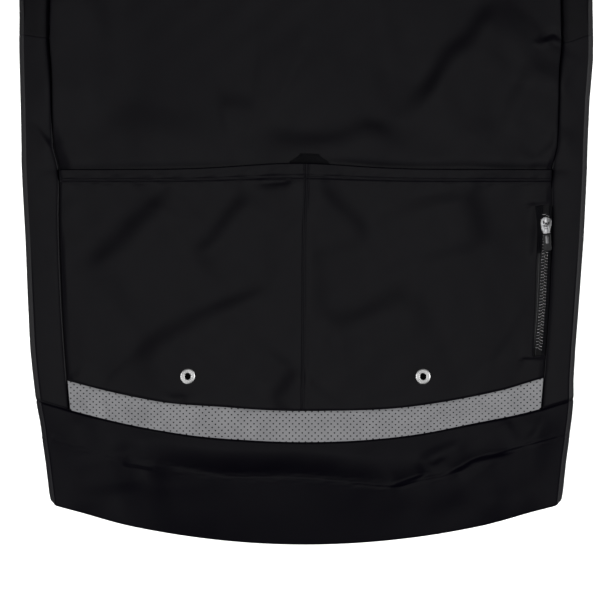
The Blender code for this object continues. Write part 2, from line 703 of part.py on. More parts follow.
def sleeve_ring(outer, towards_outer, width):
    """A straight section of the flattened sleeve: upper layer, inner fold, lower layer, outer fold."""
    inner = outer - towards_outer * width
    flat = width - 2 * FOLD_RADIUS
    first = inner + towards_outer * FOLD_RADIUS
    plan = [first + towards_outer * (flat * k / ARMHOLE_STEPS) for k in range(ARMHOLE_STEPS + 1)]
    upper = []
    for k, at in enumerate(plan):
        inner_distance = flat * k / ARMHOLE_STEPS
        upper.append(place(at.x, at.y, sleeve_height(inner_distance, flat - inner_distance)))
    lower = [place(at.x, at.y, 0.0) for at in plan]
    inner_arc = fold_arc(plan[0], -towards_outer, FOLD_RADIUS, FOLD_STEPS)
    outer_arc = fold_arc(plan[-1], towards_outer, FOLD_RADIUS, FOLD_STEPS)
    return list(reversed(upper)) + inner_arc + lower + list(reversed(outer_arc))


# ---- zips ----

PLATE_THICK = 0.8 * MM
CHANNEL_HALF = CHAIN_HALF_THICK + SEAM_GAP          # inner faces of the slider's plates
PLATE_OUTER = CHANNEL_HALF + PLATE_THICK
SLIDER_HALF_WIDTH = 4.4 * MM
SLIDER_HALF_LENGTH = 6.5 * MM
POST_BOTTOM = 2.5 * MM
BAIL_INNER = 0.9 * MM
BAIL_OUTER = 1.6 * MM
BAIL_HALF_WIDTH = 1.1 * MM
HINGE_ALONG = -0.5 * MM                             # hinge axis, from the slider's middle
HINGE_UP = PLATE_OUTER + BAIL_INNER
PULL_HALF_THICK = 0.4 * MM
PULL_HALF_WIDTH = 3.0 * MM
EYE_END = BAIL_OUTER + SEAM_GAP
PULL_END = 7.3 * MM                                 # metal plate, from the hinge axis
TAB_END = 21.0 * MM
TAB_HALF_WIDTH = 3.7 * MM
TAB_HALF_THICK = 0.9 * MM
SLIDER_ZONE = 24 * MM                               # the pocket's tape is lifted this far to each side


def prism(name, outline, low, high, axis, finish):
    """An outline in the plane square to axis, extruded from low to high along it."""
    def point(u, v, w):
        return Vector((w, u, v)) if axis == "X" else Vector((u, w, v)) if axis == "Y" else Vector((u, v, w))
    count = len(outline)
    vertices = [point(u, v, low) for u, v in outline] + [point(u, v, high) for u, v in outline]
    faces = [tuple(range(count)), tuple(range(2 * count - 1, count - 1, -1))]
    faces += [(k, k + count, (k + 1) % count + count, (k + 1) % count) for k in range(count)]
    made = new_object(name, vertices, faces, finish)
    shape = bmesh.new()
    shape.from_mesh(made.data)
    bmesh.ops.recalc_face_normals(shape, faces=shape.faces)
    shape.to_mesh(made.data)
    shape.free()
    return made


def box_outline(u0, v0, u1, v1):
    return [(u0, v0), (u1, v0), (u1, v1), (u0, v1)]


def combine(base, tool, operation):
    """Applies a Boolean to base and removes the tool."""
    boolean = base.modifiers.new(operation, "BOOLEAN")
    boolean.operation = operation
    boolean.object = tool
    bpy.context.view_layer.update()
    result = bpy.data.meshes.new_from_object(base.evaluated_get(bpy.context.evaluated_depsgraph_get()))
    base.modifiers.clear()
    base.data = result
    bpy.data.objects.remove(tool)
    return base


def build_slider(name, placed):
    """Two channelled plates on a post, with a bail on the outer plate. Local frame: X across the chain,
    Y along it with the post at +Y, Z outward, origin in the middle of the chain."""
    flange_in, flange_low = SLIDER_HALF_WIDTH - 0.8 * MM, TAPE_THICK / 2 + SEAM_GAP
    w, top, channel = SLIDER_HALF_WIDTH, PLATE_OUTER, CHANNEL_HALF
    upper = [(-w, top), (w, top), (w, flange_low), (flange_in, flange_low), (flange_in, channel),
             (-flange_in, channel), (-flange_in, flange_low), (-w, flange_low)]
    lower = [(u, -v) for u, v in upper]
    slider = prism(name, upper, -SLIDER_HALF_LENGTH, SLIDER_HALF_LENGTH, "Y", ZIP_METAL)
    post = prism("post", box_outline(-BAIL_HALF_WIDTH, POST_BOTTOM, BAIL_HALF_WIDTH, POST_BOTTOM + 3 * MM),
                 -channel - PLATE_THICK / 2, channel + PLATE_THICK / 2, "Z", ZIP_METAL)
    combine(slider, post, "UNION")
    plate = prism("plate", lower, -SLIDER_HALF_LENGTH, SLIDER_HALF_LENGTH, "Y", ZIP_METAL)
    combine(slider, plate, "UNION")
    arc = [math.pi * k / 8 for k in range(9)]
    foot = PLATE_OUTER - PLATE_THICK / 2
    outline = [(HINGE_ALONG + BAIL_OUTER, foot)]
    outline += [(HINGE_ALONG + BAIL_OUTER * math.cos(a), HINGE_UP + BAIL_OUTER * math.sin(a)) for a in arc]
    outline += [(HINGE_ALONG - BAIL_OUTER, foot), (HINGE_ALONG - BAIL_INNER, foot)]
    outline += [(HINGE_ALONG + BAIL_INNER * math.cos(a), HINGE_UP + BAIL_INNER * math.sin(a))
                for a in reversed(arc)]
    outline.append((HINGE_ALONG + BAIL_INNER, foot))
    bail = prism("bail", outline, -BAIL_HALF_WIDTH, BAIL_HALF_WIDTH, "X", ZIP_METAL)
    combine(slider, bail, "UNION")
    slider.data.transform(placed)


def build_pull(name, placed, direction):
    """The metal plate round the bail and the moulded tab on it, pointing to direction (+1 or -1) along Y."""
    def at(distance):
        return HINGE_ALONG + direction * distance
    low, high = HINGE_UP - PULL_HALF_THICK, HINGE_UP + PULL_HALF_THICK
    taper = 0.4 * MM
    w = PULL_HALF_WIDTH
    outline = [(-w, at(-PULL_HALF_THICK)), (w, at(-PULL_HALF_THICK)), (w - taper, at(PULL_END)),
               (taper - w, at(PULL_END))]
    pull = prism(name + "_pull", outline, low, high, "Z", ZIP_METAL)
    eye = prism("eye", box_outline(-BAIL_HALF_WIDTH - SEAM_GAP, at(PULL_HALF_THICK), BAIL_HALF_WIDTH + SEAM_GAP,
                                   at(EYE_END)), low - MM, high + MM, "Z", ZIP_METAL)
    combine(pull, eye, "DIFFERENCE")
    pull.data.transform(placed)

    w, corner = TAB_HALF_WIDTH, 1.6 * MM
    start, end = PULL_END + SEAM_GAP, TAB_END
    tab_outline = [(-w + 0.5 * MM, at(start)), (w - 0.5 * MM, at(start)), (w, at(start + MM)),
                   (w, at(end - corner)), (w - corner, at(end)), (corner - w, at(end)),
                   (-w, at(end - corner)), (-w, at(start + MM))]
    tab = prism(name + "_tab", tab_outline, HINGE_UP - TAB_HALF_THICK, HINGE_UP + TAB_HALF_THICK, "Z", PULL_RUBBER)
    tab.data.transform(placed)


def strip(name, edges, thick, finish):
    """A flat strip: edges is a list of (left point, right point); it is thick upwards from those points."""
    up = Vector((0, 0, 1))
    grid = Surface([[left + up * thick, right + up * thick] for left, right in edges], [[up, up]] * len(edges))
    return wall(name, grid, finish, thick=thick)


def build_pocket_zip():
    """Tapes, chain, slider and pull in the slot at the pocket's right edge, along the back's levels."""
    def seam_at(level):
        return side_seam(back_along(level, side_seam(level)))

    def tape_base(level):
        """Underside of the tape above the back's outer face: lifted round the slider."""
        return (0.7 + 1.2 * math.exp(-((level - POCKET_SLIDER_LEVEL) / SLIDER_ZONE)**2)) * MM

    def chain_x(level):
        return seam_at(level) - lerp(6.0, 4.6, (level - SLOT_BOTTOM) / (SLOT_TOP - SLOT_BOTTOM)) * MM

    def point(x, level, up):
        along = back_along(level, x)
        return place(x, along, upper_height(x, along) + up)

    low, high = SLOT_BOTTOM + 3 * SEAM_GAP, SLOT_TOP - 3 * SEAM_GAP

    def rows(left_of, right_of, up_of, top=high):
        stations = [lerp(low, high, k / 10) for k in range(10)]
        stations = [level for level in stations if level < top - MM] + [top]
        return [(point(left_of(s), s, up_of(s)), point(right_of(s), s, up_of(s))) for s in stations]

    edge = CHAIN_HALF_WIDTH + SEAM_GAP
    strip("pocket_zip_tape_left",
          rows(lambda s: seam_at(s) - SLOT_WIDTH + 2 * SEAM_GAP, lambda s: chain_x(s) - edge, tape_base),
          TAPE_THICK, ZIP_TAPE)
    strip("pocket_zip_tape_right",
          rows(lambda s: chain_x(s) + edge, lambda s: seam_at(s) - 2 * SEAM_GAP, tape_base),
          TAPE_THICK, ZIP_TAPE)
    strip("pocket_zip_teeth",
          rows(lambda s: chain_x(s) - CHAIN_HALF_WIDTH, lambda s: chain_x(s) + CHAIN_HALF_WIDTH,
               lambda s: tape_base(s) + TAPE_THICK / 2 - CHAIN_HALF_THICK,
               top=POCKET_SLIDER_LEVEL + POST_BOTTOM - SEAM_GAP),
          2 * CHAIN_HALF_THICK, ZIP_TEETH)

    ahead, behind = (point(chain_x(level), level, tape_base(level) + TAPE_THICK / 2)
                     for level in (POCKET_SLIDER_LEVEL + 5 * MM, POCKET_SLIDER_LEVEL - 5 * MM))
    forward = (ahead - behind).normalized()
    across = forward.cross(Vector((0, 0, 1))).normalized()
    placed = Matrix((across, forward, across.cross(forward))).transposed().to_4x4()
    placed.translation = (ahead + behind) / 2
    build_slider("pocket_zip_slider", placed)
    build_pull("pocket_zip", placed, direction=-1)


def build_main_zip(tube, front, collar):
    """Tapes, chain, slider and pull of the front zip. The tapes lie inside the front edges and follow
    their rows, from the hem to the collar's top."""
    hem_edge = [row[-1] for row in tube.points[:len(HEM_LEVELS)]]
    front_edge = [row[-1] for row in front.points[1:]]
    collar_edge = [row[-1] for row in collar.points[1:]]
    stations = hem_edge + front_edge + collar_edge
    chain_top = MAIN_SLIDER_ALONG + POST_BOTTOM - SEAM_GAP - LENGTH / 2
    tape_up = WALL + SEAM_GAP
    hem_tape_up = HEM_WALL + SEAM_GAP

    def up(p):
        """Underside of the tape over the front's outer face; the doubled hem lifts it more."""
        from_stitch = p.y + LENGTH / 2 - front_along(HEM_STITCH, 0.0)
        return lerp(hem_tape_up, tape_up, smooth(from_stitch / (12 * MM)))

    def rows(left, right, extra, top=None):
        spans = [p for p in stations if top is None or p.y < top - MM]
        if top is not None:
            spans.append(Vector((0, top, spans[-1].z)))
        return [(Vector((left, p.y, p.z + up(p) + extra)), Vector((right, p.y, p.z + up(p) + extra)))
                for p in spans]

    edge = CHAIN_HALF_WIDTH + SEAM_GAP
    strip("main_zip_tape_right", rows(edge, TAPE_REACH, 0.0), TAPE_THICK, ZIP_TAPE)
    strip("main_zip_tape_left", rows(-TAPE_REACH, -edge, 0.0), TAPE_THICK, ZIP_TAPE)
    strip("main_zip_teeth", rows(-CHAIN_HALF_WIDTH, CHAIN_HALF_WIDTH, TAPE_THICK / 2 - CHAIN_HALF_THICK,
                                 top=chain_top), 2 * CHAIN_HALF_THICK, ZIP_TEETH)
    centre = place(0, MAIN_SLIDER_ALONG, ZIP_LIFT + tape_up + TAPE_THICK / 2)
    placed = Matrix.Translation(centre) @ Matrix.Rotation(math.pi, 4, "Y")
    build_slider("main_zip_slider", placed)
    build_pull("main_zip", placed, direction=1)


def main():
    for old in list(bpy.data.objects):
        bpy.data.objects.remove(old)
    tube, back, front, gusset_top = build_body()
    collar = build_collar()
    build_sleeves(gusset_top)
    build_pocket_zip()
    build_main_zip(tube, front, collar)


main()
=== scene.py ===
import json
import math
from collections import namedtuple

import bmesh
import bpy
import numpy as np
from mathutils import Matrix, Vector


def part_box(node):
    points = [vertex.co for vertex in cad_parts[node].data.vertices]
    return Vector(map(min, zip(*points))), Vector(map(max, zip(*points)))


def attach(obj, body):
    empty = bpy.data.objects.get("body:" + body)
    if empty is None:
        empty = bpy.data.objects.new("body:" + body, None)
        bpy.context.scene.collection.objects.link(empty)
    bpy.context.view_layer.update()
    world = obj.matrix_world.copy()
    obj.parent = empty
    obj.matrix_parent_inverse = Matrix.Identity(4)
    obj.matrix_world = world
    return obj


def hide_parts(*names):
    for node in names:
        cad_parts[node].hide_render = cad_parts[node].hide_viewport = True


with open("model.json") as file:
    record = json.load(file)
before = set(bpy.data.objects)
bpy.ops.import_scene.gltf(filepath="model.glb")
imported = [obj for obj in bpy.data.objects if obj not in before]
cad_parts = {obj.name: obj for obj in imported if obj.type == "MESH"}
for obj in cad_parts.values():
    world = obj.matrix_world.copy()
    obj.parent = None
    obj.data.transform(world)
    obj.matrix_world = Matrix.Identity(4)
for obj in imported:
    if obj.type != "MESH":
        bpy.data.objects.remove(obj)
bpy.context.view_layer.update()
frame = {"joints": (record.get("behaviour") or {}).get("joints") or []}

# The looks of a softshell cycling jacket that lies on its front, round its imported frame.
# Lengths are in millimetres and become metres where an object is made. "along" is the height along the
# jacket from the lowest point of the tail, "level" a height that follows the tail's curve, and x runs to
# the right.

MM = 0.001

# ---- the jacket's own sizes, as in the frame ----
WALL = 1.2
HEM_WALL = 1.8
SEAM_GAP = 0.3
CLOSED_GAP = 0.1                # what is left of it where two edges are sewn tight
SIDE_ROLL = (0.25, 0.5)         # how deep and wide an edge turns down into a seam, where it is a tight one
UNDERARM_ROLL = (0.12, 0.5)
BACK_ROLL = (0.1, 0.4)
LENGTH = 800
FOLD_RADIUS = 3.1
FOLD_REACH = 4.1                # how far in from the outline the upper face rolls over
FOLD_BULGE = 0.4                # and how much thicker it stands there
CRISP_RADIUS = 1.5
REST_HEIGHT = 4.6
TAIL_RADIUS = 700
CORNER = 5.0                    # radius of the tail's corners
HEM_STITCH = 55
HEM_SEAM = 84.6
BAND_TOP = 111
POCKET_TOP = 314
STITCH_ROWS = (8.6, 11.0)       # below the pocket's mouth
MOUTH_RISE = 5.2
MOUTH_GAPE = 1.5
FRONT_RISE = 50
UNDERARM_SEAM = 427
FOLD_TOP = 475                  # above it the layers come together
SIDE_SEAM_TOP = 518
UNDERARM = np.array((241.0, 479.0))
UNDERARM_OUTWARD = np.array((0.736, -0.677))
SHOULDER = np.array((222.0, 700.0))
NECK = np.array((88.5, 745.0))
BACK_NECK_DEPTH = 20
FRONT_NECK_DEPTH = 77
COLLAR_WIDTH = 54
COLLAR_NARROWS = 4
COLLAR_BACK_TOP = 783
COLLAR_FRONT_TOP = 730
BACK_ARMHOLE_PULL = (np.array((196.0, 520.0)), np.array((180.0, 610.0)))
FRONT_ARMHOLE_PULL = (np.array((190.0, 520.0)), np.array((168.0, 610.0)))
GUSSET_SHARE = 0.25             # the side seam meets the armhole this far up it
CUFF_STITCH = 26
PATCH_WALL = 0.8
PATCH_MIDDLE = 3.4
FILM_THICK = 0.5
SLOT_BOTTOM = 131
SLOT_TOP = 282
SLOT_CORNER = 1.6
EYELET_HOLE = 3.4
TAPE_THICK = 1.0
TAPE_START = 3.0                # how far from the front zip's middle its tapes start and end
TAPE_REACH = 15
# The pocket zip's left tape above TAPE_SHADE, and all of its right tape, take a duller copy of the tape's
# finish: painted shade.
TAPE_SHADE = 243                # above it the slot's lip keeps the light off the pocket zip's left tape
TOOTH_PITCH = 2.54
ZIP_HALF_OPENING = 5.2
ZIP_LIFT = 2.6
MAIN_SLIDER_ALONG = 722
POCKET_SLIDER_LEVEL = 263
PLATE_INNER = 1.2               # half heights of a slider
PLATE_OUTER = 2.0
HINGE_ALONG = -0.5
HINGE_UP = PLATE_OUTER + 0.9
PULL_TURN = math.radians(5)     # how far the pocket's hanging pull has slewed in its loose bail
FLOOR = -0.4                    # the turned hem and cuffs reach a little below the frame's lowest plane


def sections(columns, *rows):
    """Rows of sizes whose columns have names."""
    return np.rec.fromrecords(rows, names=columns.split())


BODY_SECTIONS = sections(
    "along half_width side_seam",
    (0, 210.5, 187.0), (38, 214.4, 191.5), (86, 220.8, 195.8), (120, 225.0, 198.5), (165, 228.8, 202.0),
    (204, 231.1, 204.6), (270, 234.8, 206.8), (313, 236.9, 206.8), (335, 237.5, 211.2), (400, 240.2, 213.0),
    (427, 241.0, 214.8), (479, 241.0, 214.4), (518, 241.0, 212.9))
SLEEVE_SECTIONS = sections(
    "name step heading line width",
    ("cap_upper", 72, 25, 79.0, 201), ("cap_lower", 72, 34, 62.2, 187), ("biceps", 72, 43, 44.5, 179),
    ("upper_arm", 65, 48, 38.0, 170), ("above_elbow", 65, 58, 28.0, 160), ("elbow", 60, 68, 18.0, 151),
    ("below_elbow", 60, 77, 9.0, 142), ("forearm", 80, 84, 5.0, 124), ("wrist", 75, 86, 4.0, 105),
    ("cuff", 28, 86, 4.0, 99))

# How deep and wide a valley each side seam lies in, on the side panel.
LEFT_SEAM = sections(
    "along depth width",
    (80, 0.9, 1.4), (300, 1.1, 1.4), (311, 1.6, 2.6), (338, 1.6, 2.6), (350, 1.7, 2.6), (364, 2.0, 2.4),
    (385, 2.4, 3.0), (405, 4.2, 4.6), (445, 4.3, 5.0), (475, 3.4, 5.4), (530, 0.8, 3.0))
RIGHT_SEAM = sections(
    "along depth width",
    (80, 1.2, 4.0), (180, 1.4, 4.6), (215, 1.4, 3.6), (250, 1.4, 3.0), (300, 1.1, 2.4), (312, 1.6, 2.6),
    (322, 1.1, 2.6), (370, 1.5, 3.0), (410, 2.6, 3.6), (450, 3.4, 4.6), (480, 3.4, 5.0), (530, 0.8, 3.0))
# The same on the back, whose edge lies low only just above the pocket.
LEFT_HOLLOW = sections(
    "along depth width",
    (300, 0.0, 1.0), (311, 2.2, 11.0), (326, 1.9, 10.0), (338, 1.1, 8.0), (350, 0.3, 4.0), (364, 0.0, 2.0),
    (385, 0.0, 1.0))
RIGHT_HOLLOW = sections(
    "along depth width",
    (300, 0.0, 1.0), (312, 2.2, 4.5), (322, 0.4, 4.0), (370, 0.0, 1.0))

# Laid down by hand, the garment isn't quite even: how far each side fold lies to the right of its cut.
LIE_SECTIONS = sections(
    "along left right",
    (0, -0.6, 1.6), (36, -0.4, 1.4), (70, 0.2, 0.4), (103, -0.2, 0.7), (120, -1.5, 0.4), (138, -1.8, -1.3),
    (165, -2.5, -1.8), (204, -2.3, -1.0), (255, -1.4, -0.2), (322, -1.6, -0.3), (372, -0.5, -0.2),
    (406, 0.0, 1.3), (440, 0.6, 0.6), (475, 0.0, 0.0))

# ---- creases ----
# A crease with a lean is a step: the cloth is high on one side of its route and low on the other (on the
# left of the route if lean is above 0), and comes back gently. One without is a furrow, or a bulge if its
# depth is below 0. lip is a ridge beside a furrow, on the left of its route if above 0, else on the right.
Crease = namedtuple("Crease", "name width depth lean route lip", defaults=[0])
BACK_CREASES = [Crease(*row) for row in (
    ("left_blade", 20, 3.4, 1, ((-174, 492), (-171, 430), (-168, 395), (-176, 342))),
    ("left_small_bulge", 26, -0.8, 0, ((-128, 347), (-88, 345), (-66, 350))),
    ("left_of_middle", 9, 0.8, 1, ((-76, 368), (-58, 371), (-40, 369))),
    ("waist", 10, 1.9, 1, ((-46, 350), (-32, 342), (-6, 337), (22, 341), (49, 350), (74, 341), (90, 330))),
    ("right_blade", 10, 3.0, -1, ((170, 466), (152, 446), (142, 434), (114, 402), (96, 374), (80, 352))),
    ("seam_pucker", 2.0, 1.1, 0, ((196, 424), (203.7, 431.5), (208, 433.6), (215.5, 430.3)), -0.7),
    ("from_pucker", 10, 1.7, -1, ((196, 418), (184, 396), (170, 366), (162, 334))),
    ("right_corner", 6, 1.2, -1, ((214, 354), (206, 334), (192, 316))),
    ("above_mouth_left", 3.6, 0.6, 0, ((-240, 314), (-150, 314.4), (-60, 317), (-20, 319))),
    ("above_mouth_right", 4.2, 1.1, 0, ((-10, 319), (30, 318), (70, 316), (140, 314.6), (250, 313.6))),
    ("upper_left", 18, 2.0, 1, ((-128, 660), (-104, 610), (-66, 560))),
    ("upper_right", 16, 2.2, -1, ((132, 668), (100, 612), (72, 548), (66, 500))),
    ("yoke", 14, 1.4, -1, ((-60, 706), (0, 694), (66, 704))),
    ("right_armhole", 9, 1.6, 1, ((206, 560), (176, 545), (140, 552))),
    ("left_armhole", 10, 1.5, -1, ((-208, 574), (-180, 552), (-150, 556))),
    ("middle_back", 16, 1.4, 1, ((-60, 524), (-10, 509), (40, 505), (74, 511))),
    ("left_side_crease", 1.8, 1.7, 1, ((-236, 359), (-226, 350), (-218, 340), (-209, 328))),
    ("left_side_hollow", 7, 0.9, 0, ((-236, 312), (-226, 300))),
    ("right_side_crease", 6, 1.3, 1, ((236, 410), (222, 390), (216, 372))),
    ("right_side_mouth", 8, 1.4, -1, ((210, 338), (222, 326), (236, 322))),
)]
POCKET_CREASES = [Crease(*row) for row in (
    ("from_mouth_left", 12, 2.3, -1, ((-119, 301), (-134, 281), (-154, 260), (-172, 240), (-188, 226))),
    ("from_mouth_left_short", 7, 0.9, -1, ((-110, 303), (-124, 289), (-130, 280))),
    ("from_mouth_middle", 8, 1.7, -1, ((-42, 302), (-62, 279), (-82, 256), (-100, 240))),
    ("below_stitches_left", 3.6, 1.2, 0, ((-42, 302), (-28, 303), (-11, 305))),
    ("long", 9, 2.1, -1, ((-12, 219), (-58, 206), (-98, 187), (-132, 164), (-158, 138))),
    ("eyelet_pucker", 3, 0.7, 0, ((-116, 125), (-108, 123), (-100, 124))),
    ("to_band_middle", 8, 1.6, -1, ((-4, 150), (-16, 134), (-32, 116))),
    ("from_mouth_right", 8, 1.5, 1, ((3, 309), (18, 298), (30, 286), (44, 268), (54, 246))),
    ("right_hollow", 13, 2.1, 1, ((134, 306), (142, 282), (152, 244))),
    ("right_low", 14, 2.5, 1, ((2, 182), (38, 190), (70, 203), (100, 216))),
    ("slot_top_pucker", 2.4, 0.9, -1, ((184, 283.5), (194, 285.5), (208, 286))),
    ("beside_slider", 5, 1.5, 1, ((190, 232), (192, 262), (192, 291))),
    ("slot_bottom_pucker", 1.7, 0.8, -1, ((178, 156), (190, 155.4), (207, 155.8))),
    ("band_left", 9, 1.0, 1, ((-190, 152), (-170, 130))),
    ("band_right", 10, 0.9, 1, ((150, 152), (180, 132))),
)]
HEM_CREASES = [Crease(*row) for row in (
    ("left_nick", 1.3, 0.9, -1, ((-154, 67), (-142, 65.5), (-126, 62.5))),
    ("left_hollow", 9, 1.3, 1, ((-146, 92), (-138, 70), (-134, 44))),
    ("left_lie", 15, 2.2, 1, ((-184, 128), (-174, 74), (-168, 10))),
    ("right_lie", 14, 2.0, -1, ((126, 112), (140, 66), (146, 8))),
    ("right_end_lie", 12, 1.6, -1, ((176, 116), (182, 70), (184, 20))),
    ("blob", 2.0, 1.6, -1, ((70, 47), (80, 51), (92, 55), (102, 59))),
    ("overlap", 1.8, 2.0, -1, ((116, 57), (130, 62.4), (141, 68.3), (150, 71), (172, 75.5))),
    ("right_ray", 5, 1.1, 1, ((168, 106), (175, 94), (184, 82))),
    ("right_ray_outer", 4, 0.9, -1, ((200, 112), (195, 98), (189, 87))),
    ("streak", 5, 1.2, -1, ((88, 66), (112, 79), (136, 86))),
    ("streak_short", 3, 0.7, 1, ((104, 64), (118, 73))),
    ("right_swell", 15, -0.6, 0, ((104, 40), (130, 44))),
)]
BAND_CREASES = [Crease(*row) for row in (
    ("puckered_end", 20, -1.0, 0, ((-176, 122), (-150, 106))),
    ("far_left", 3.0, 1.3, 0, ((-189, 134), (-182, 108))),
    ("left", 2.0, 1.0, 0, ((-168, 130), (-164, 102))),
    ("left_third", 2.4, 0.8, 0, ((-149, 126), (-146, 98))),
    ("left_inner", 2.8, 1.0, 0, ((-139, 123), (-134, 95))),
    ("middle", 5, 0.5, 1, ((-20, 110), (-34, 92))),
    ("right", 6, 0.5, -1, ((96, 112), (110, 96))),
    ("far_right", 5, 0.6, -1, ((176, 128), (170, 108))),
)]
# On a sleeve, x is the distance from its middle line, inner side first, and along is from the
# armhole down.
SLEEVE_CREASES = [Crease(*row) for row in (
    ("cap", 12, 1.9, 1, ((-60, 60), (-20, 84), (30, 92), (66, 84))),
    ("cap_inner", 9, 1.7, -1, ((-84, 96), (-48, 120), (-10, 128))),
    ("upper_arm", 12, 1.7, -1, ((-50, 176), (0, 190), (52, 182))),
    ("upper_arm_short", 8, 1.2, 1, ((-80, 214), (-50, 222), (-24, 218))),
    ("above_elbow", 9, 1.8, 1, ((-76, 262), (-40, 276), (6, 274))),
    ("elbow", 7, 1.9, -1, ((-74, 322), (-34, 330), (14, 326), (44, 314))),
    ("elbow_second", 7, 1.6, 1, ((-70, 352), (-30, 366), (20, 368))),
    ("below_elbow", 10, 1.6, -1, ((-62, 400), (-22, 412), (30, 404))),
    ("forearm", 9, 1.3, 1, ((-40, 470), (-6, 484), (40, 480))),
    ("wrist", 7, 1.3, -1, ((-46, 546), (-10, 556), (26, 552))),
    ("wrist_second", 6, 1.1, 1, ((-20, 590), (10, 598), (38, 592))),
)]


# ---- small mathematics, on arrays ----

def smooth(t):
    """0 below t = 0, 1 above t = 1, with a soft start and end."""
    t = np.clip(t, 0.0, 1.0)
    return t * t * (3.0 - 2.0 * t)


def lerp(a, b, t):
    return a + (b - a) * t


def bell(distance, width):
    return np.exp(-(distance / width)**2)


def furrow(distance, width):
    """The profile of a crease: steep at its line, with a small round bottom, and soft at its edges."""
    round_bottom = 0.3 + 0.1 * width
    return np.exp(-((np.hypot(distance, round_bottom) - round_bottom) / width)**1.4)


def ruler(*marks):
    """Positions from marks and the steps between them: ruler(0, 0.5, 4, 2, 20) steps by about 0.5 up to 4,
    then by about 2 up to 20."""
    positions = [float(marks[0])]
    for start, step_size, end in zip(marks[0:-1:2], marks[1::2], marks[2::2]):
        count = max(1, round(abs(end - start) / step_size))
        positions += [lerp(start, end, k / count) for k in range(1, count + 1)]
    return np.array(positions)


def travelled(points):
    """How far along a line each of its points is."""
    return np.concatenate([[0], np.cumsum(np.linalg.norm(np.diff(points, axis=0), axis=1))])


def read_off(rows, along, *columns):
    return [np.interp(along, rows.along, rows[column]) for column in columns]


def curve_through(stations, values):
    """A smooth curve through values (numbers or points) at growing stations."""
    stations, values = np.asarray(stations, float), np.asarray(values, float)
    span, steps = np.diff(stations), np.diff(values, axis=0)
    runs, rises = (np.concatenate((d[:1], d[:-1] + d[1:], d[-1:])) for d in (span, steps))
    slopes = (rises.T / runs).T

    def at(s):
        s = np.clip(s, stations[0], stations[-1])
        i = np.clip(np.searchsorted(stations, s, side="right") - 1, 0, len(span) - 1)
        t, wide = (s - stations[i]) / span[i], span[i]
        if values.ndim > 1:
            t, wide = t[:, None], wide[:, None]
        return ((2 * t**3 - 3 * t**2 + 1) * values[i] + (t**3 - 2 * t**2 + t) * wide * slopes[i]
                + (3 * t**2 - 2 * t**3) * values[i + 1] + (t**3 - t**2) * wide * slopes[i + 1])
    return at


half_width = curve_through(BODY_SECTIONS.along, BODY_SECTIONS.half_width)
side_seam = curve_through(BODY_SECTIONS.along, BODY_SECTIONS.side_seam)


def ripple(x, along, seed, wavelength):
    """Smooth unevenness between about -1 and 1, as a sum of waves in several directions."""
    random = np.random.default_rng(seed)
    total = 0.0
    for _ in range(5):
        angle, phase = random.uniform(0, 2 * math.pi, 2)
        length = wavelength * random.uniform(0.7, 1.5)
        turn = (x * math.cos(angle) + along * math.sin(angle)) * (2 * math.pi / length)
        total = total + np.sin(turn + phase)
    return total / 3.0


def to_route(x, along, route):
    """Distance to a route, above 0 on its left, and how far along it (0 to 1)."""
    stations = travelled(route)
    points = curve_through(stations, route)(np.linspace(0, stations[-1], 4 * len(route) - 3))
    ends = travelled(points)
    away, share = np.full(np.shape(x), np.inf), np.zeros(np.shape(x))
    for (x0, a0), (x1, a1), before, after in zip(points, points[1:], ends, ends[1:]):
        length = after - before
        dx, da = (x1 - x0) / length, (a1 - a0) / length
        t = np.clip((x - x0) * dx + (along - a0) * da, 0, length)
        distance = np.hypot(x - x0 - t * dx, along - a0 - t * da)
        closer = distance < abs(away)
        away = np.where(closer, np.copysign(distance, dx * (along - a0) - da * (x - x0)), away)
        share = np.where(closer, (before + t) / ends[-1], share)
    return away, share


def step(away, width):
    """A drop of 1 across a route, 0.6 above the cloth on its right and 0.4 below on its left."""
    across = 0.5 * (1 + np.tanh(away / (0.75 * width)))
    beyond = np.maximum(0, abs(away) - width)
    return (0.6 - across) * np.exp(-beyond / (4.5 * width)) * smooth((15 * width - beyond) / (6 * width))


def creases(x, along, rows):
    """Height that some creases add. They wander a little, and fade at both ends."""
    x, along = np.broadcast_arrays(np.asarray(x, float), np.asarray(along, float))
    height = np.zeros(x.shape)
    for crease in rows:
        reach = crease.width * (16 if crease.lean else 4)
        low, high = np.min(crease.route, axis=0) - reach, np.max(crease.route, axis=0) + reach
        near = (x > low[0]) & (x < high[0]) & (along > low[1]) & (along < high[1])
        if not near.any():
            continue
        place = x[near], along[near]
        waver = min(1.4, 0.16 * crease.width)
        wandering = [place[k] + waver * ripple(*place, 11 + k, 46) for k in range(2)]
        away, share = to_route(*wandering, crease.route)
        ends = smooth(share / 0.25) * smooth((1 - share) / 0.25)
        if crease.lean:
            added = crease.depth * ends * step(away * crease.lean, crease.width)
        elif crease.depth > 0:
            ridge = bell(away - math.copysign(1.9 * crease.width, crease.lip), 1.2 * crease.width)
            profile = abs(crease.lip) * ridge - crease.depth * furrow(away, crease.width)
            added = (0.35 + 0.65 * ends) * profile
        else:
            added = -crease.depth * bell(away, crease.width)
        height[near] += added
    return height


# ---- where a level runs, and how high each layer lies ----

def tail_curve(x):
    return x * x / (2 * TAIL_RADIUS)


def back_along(level, x):
    level_out = 1.0 - smooth((level - BAND_TOP) / (POCKET_TOP - BAND_TOP))
    mouth = np.exp(-((x + 8) / 64)**2 - ((level - POCKET_TOP) / 12)**2)
    return level + tail_curve(x) * level_out + MOUTH_RISE * mouth


def fold_along(level):
    along = level
    for _ in range(4):
        along = back_along(level, half_width(along))
    return along


def panel_seam(level):
    """x of the side seam where it crosses a level."""
    return side_seam(back_along(level, side_seam(fold_along(level))))


def front_along(level, x):
    at_fold = fold_along(level)
    in_middle = level + FRONT_RISE * (1.0 - smooth(level / 420))
    return lerp(in_middle, at_fold, np.minimum(1.0, abs(x) / half_width(at_fold))**2)


def lower_height(x, along):
    """Outer face of the fronts, which the zip lifts beside the neck."""
    return ZIP_LIFT * near_neck(x, along)


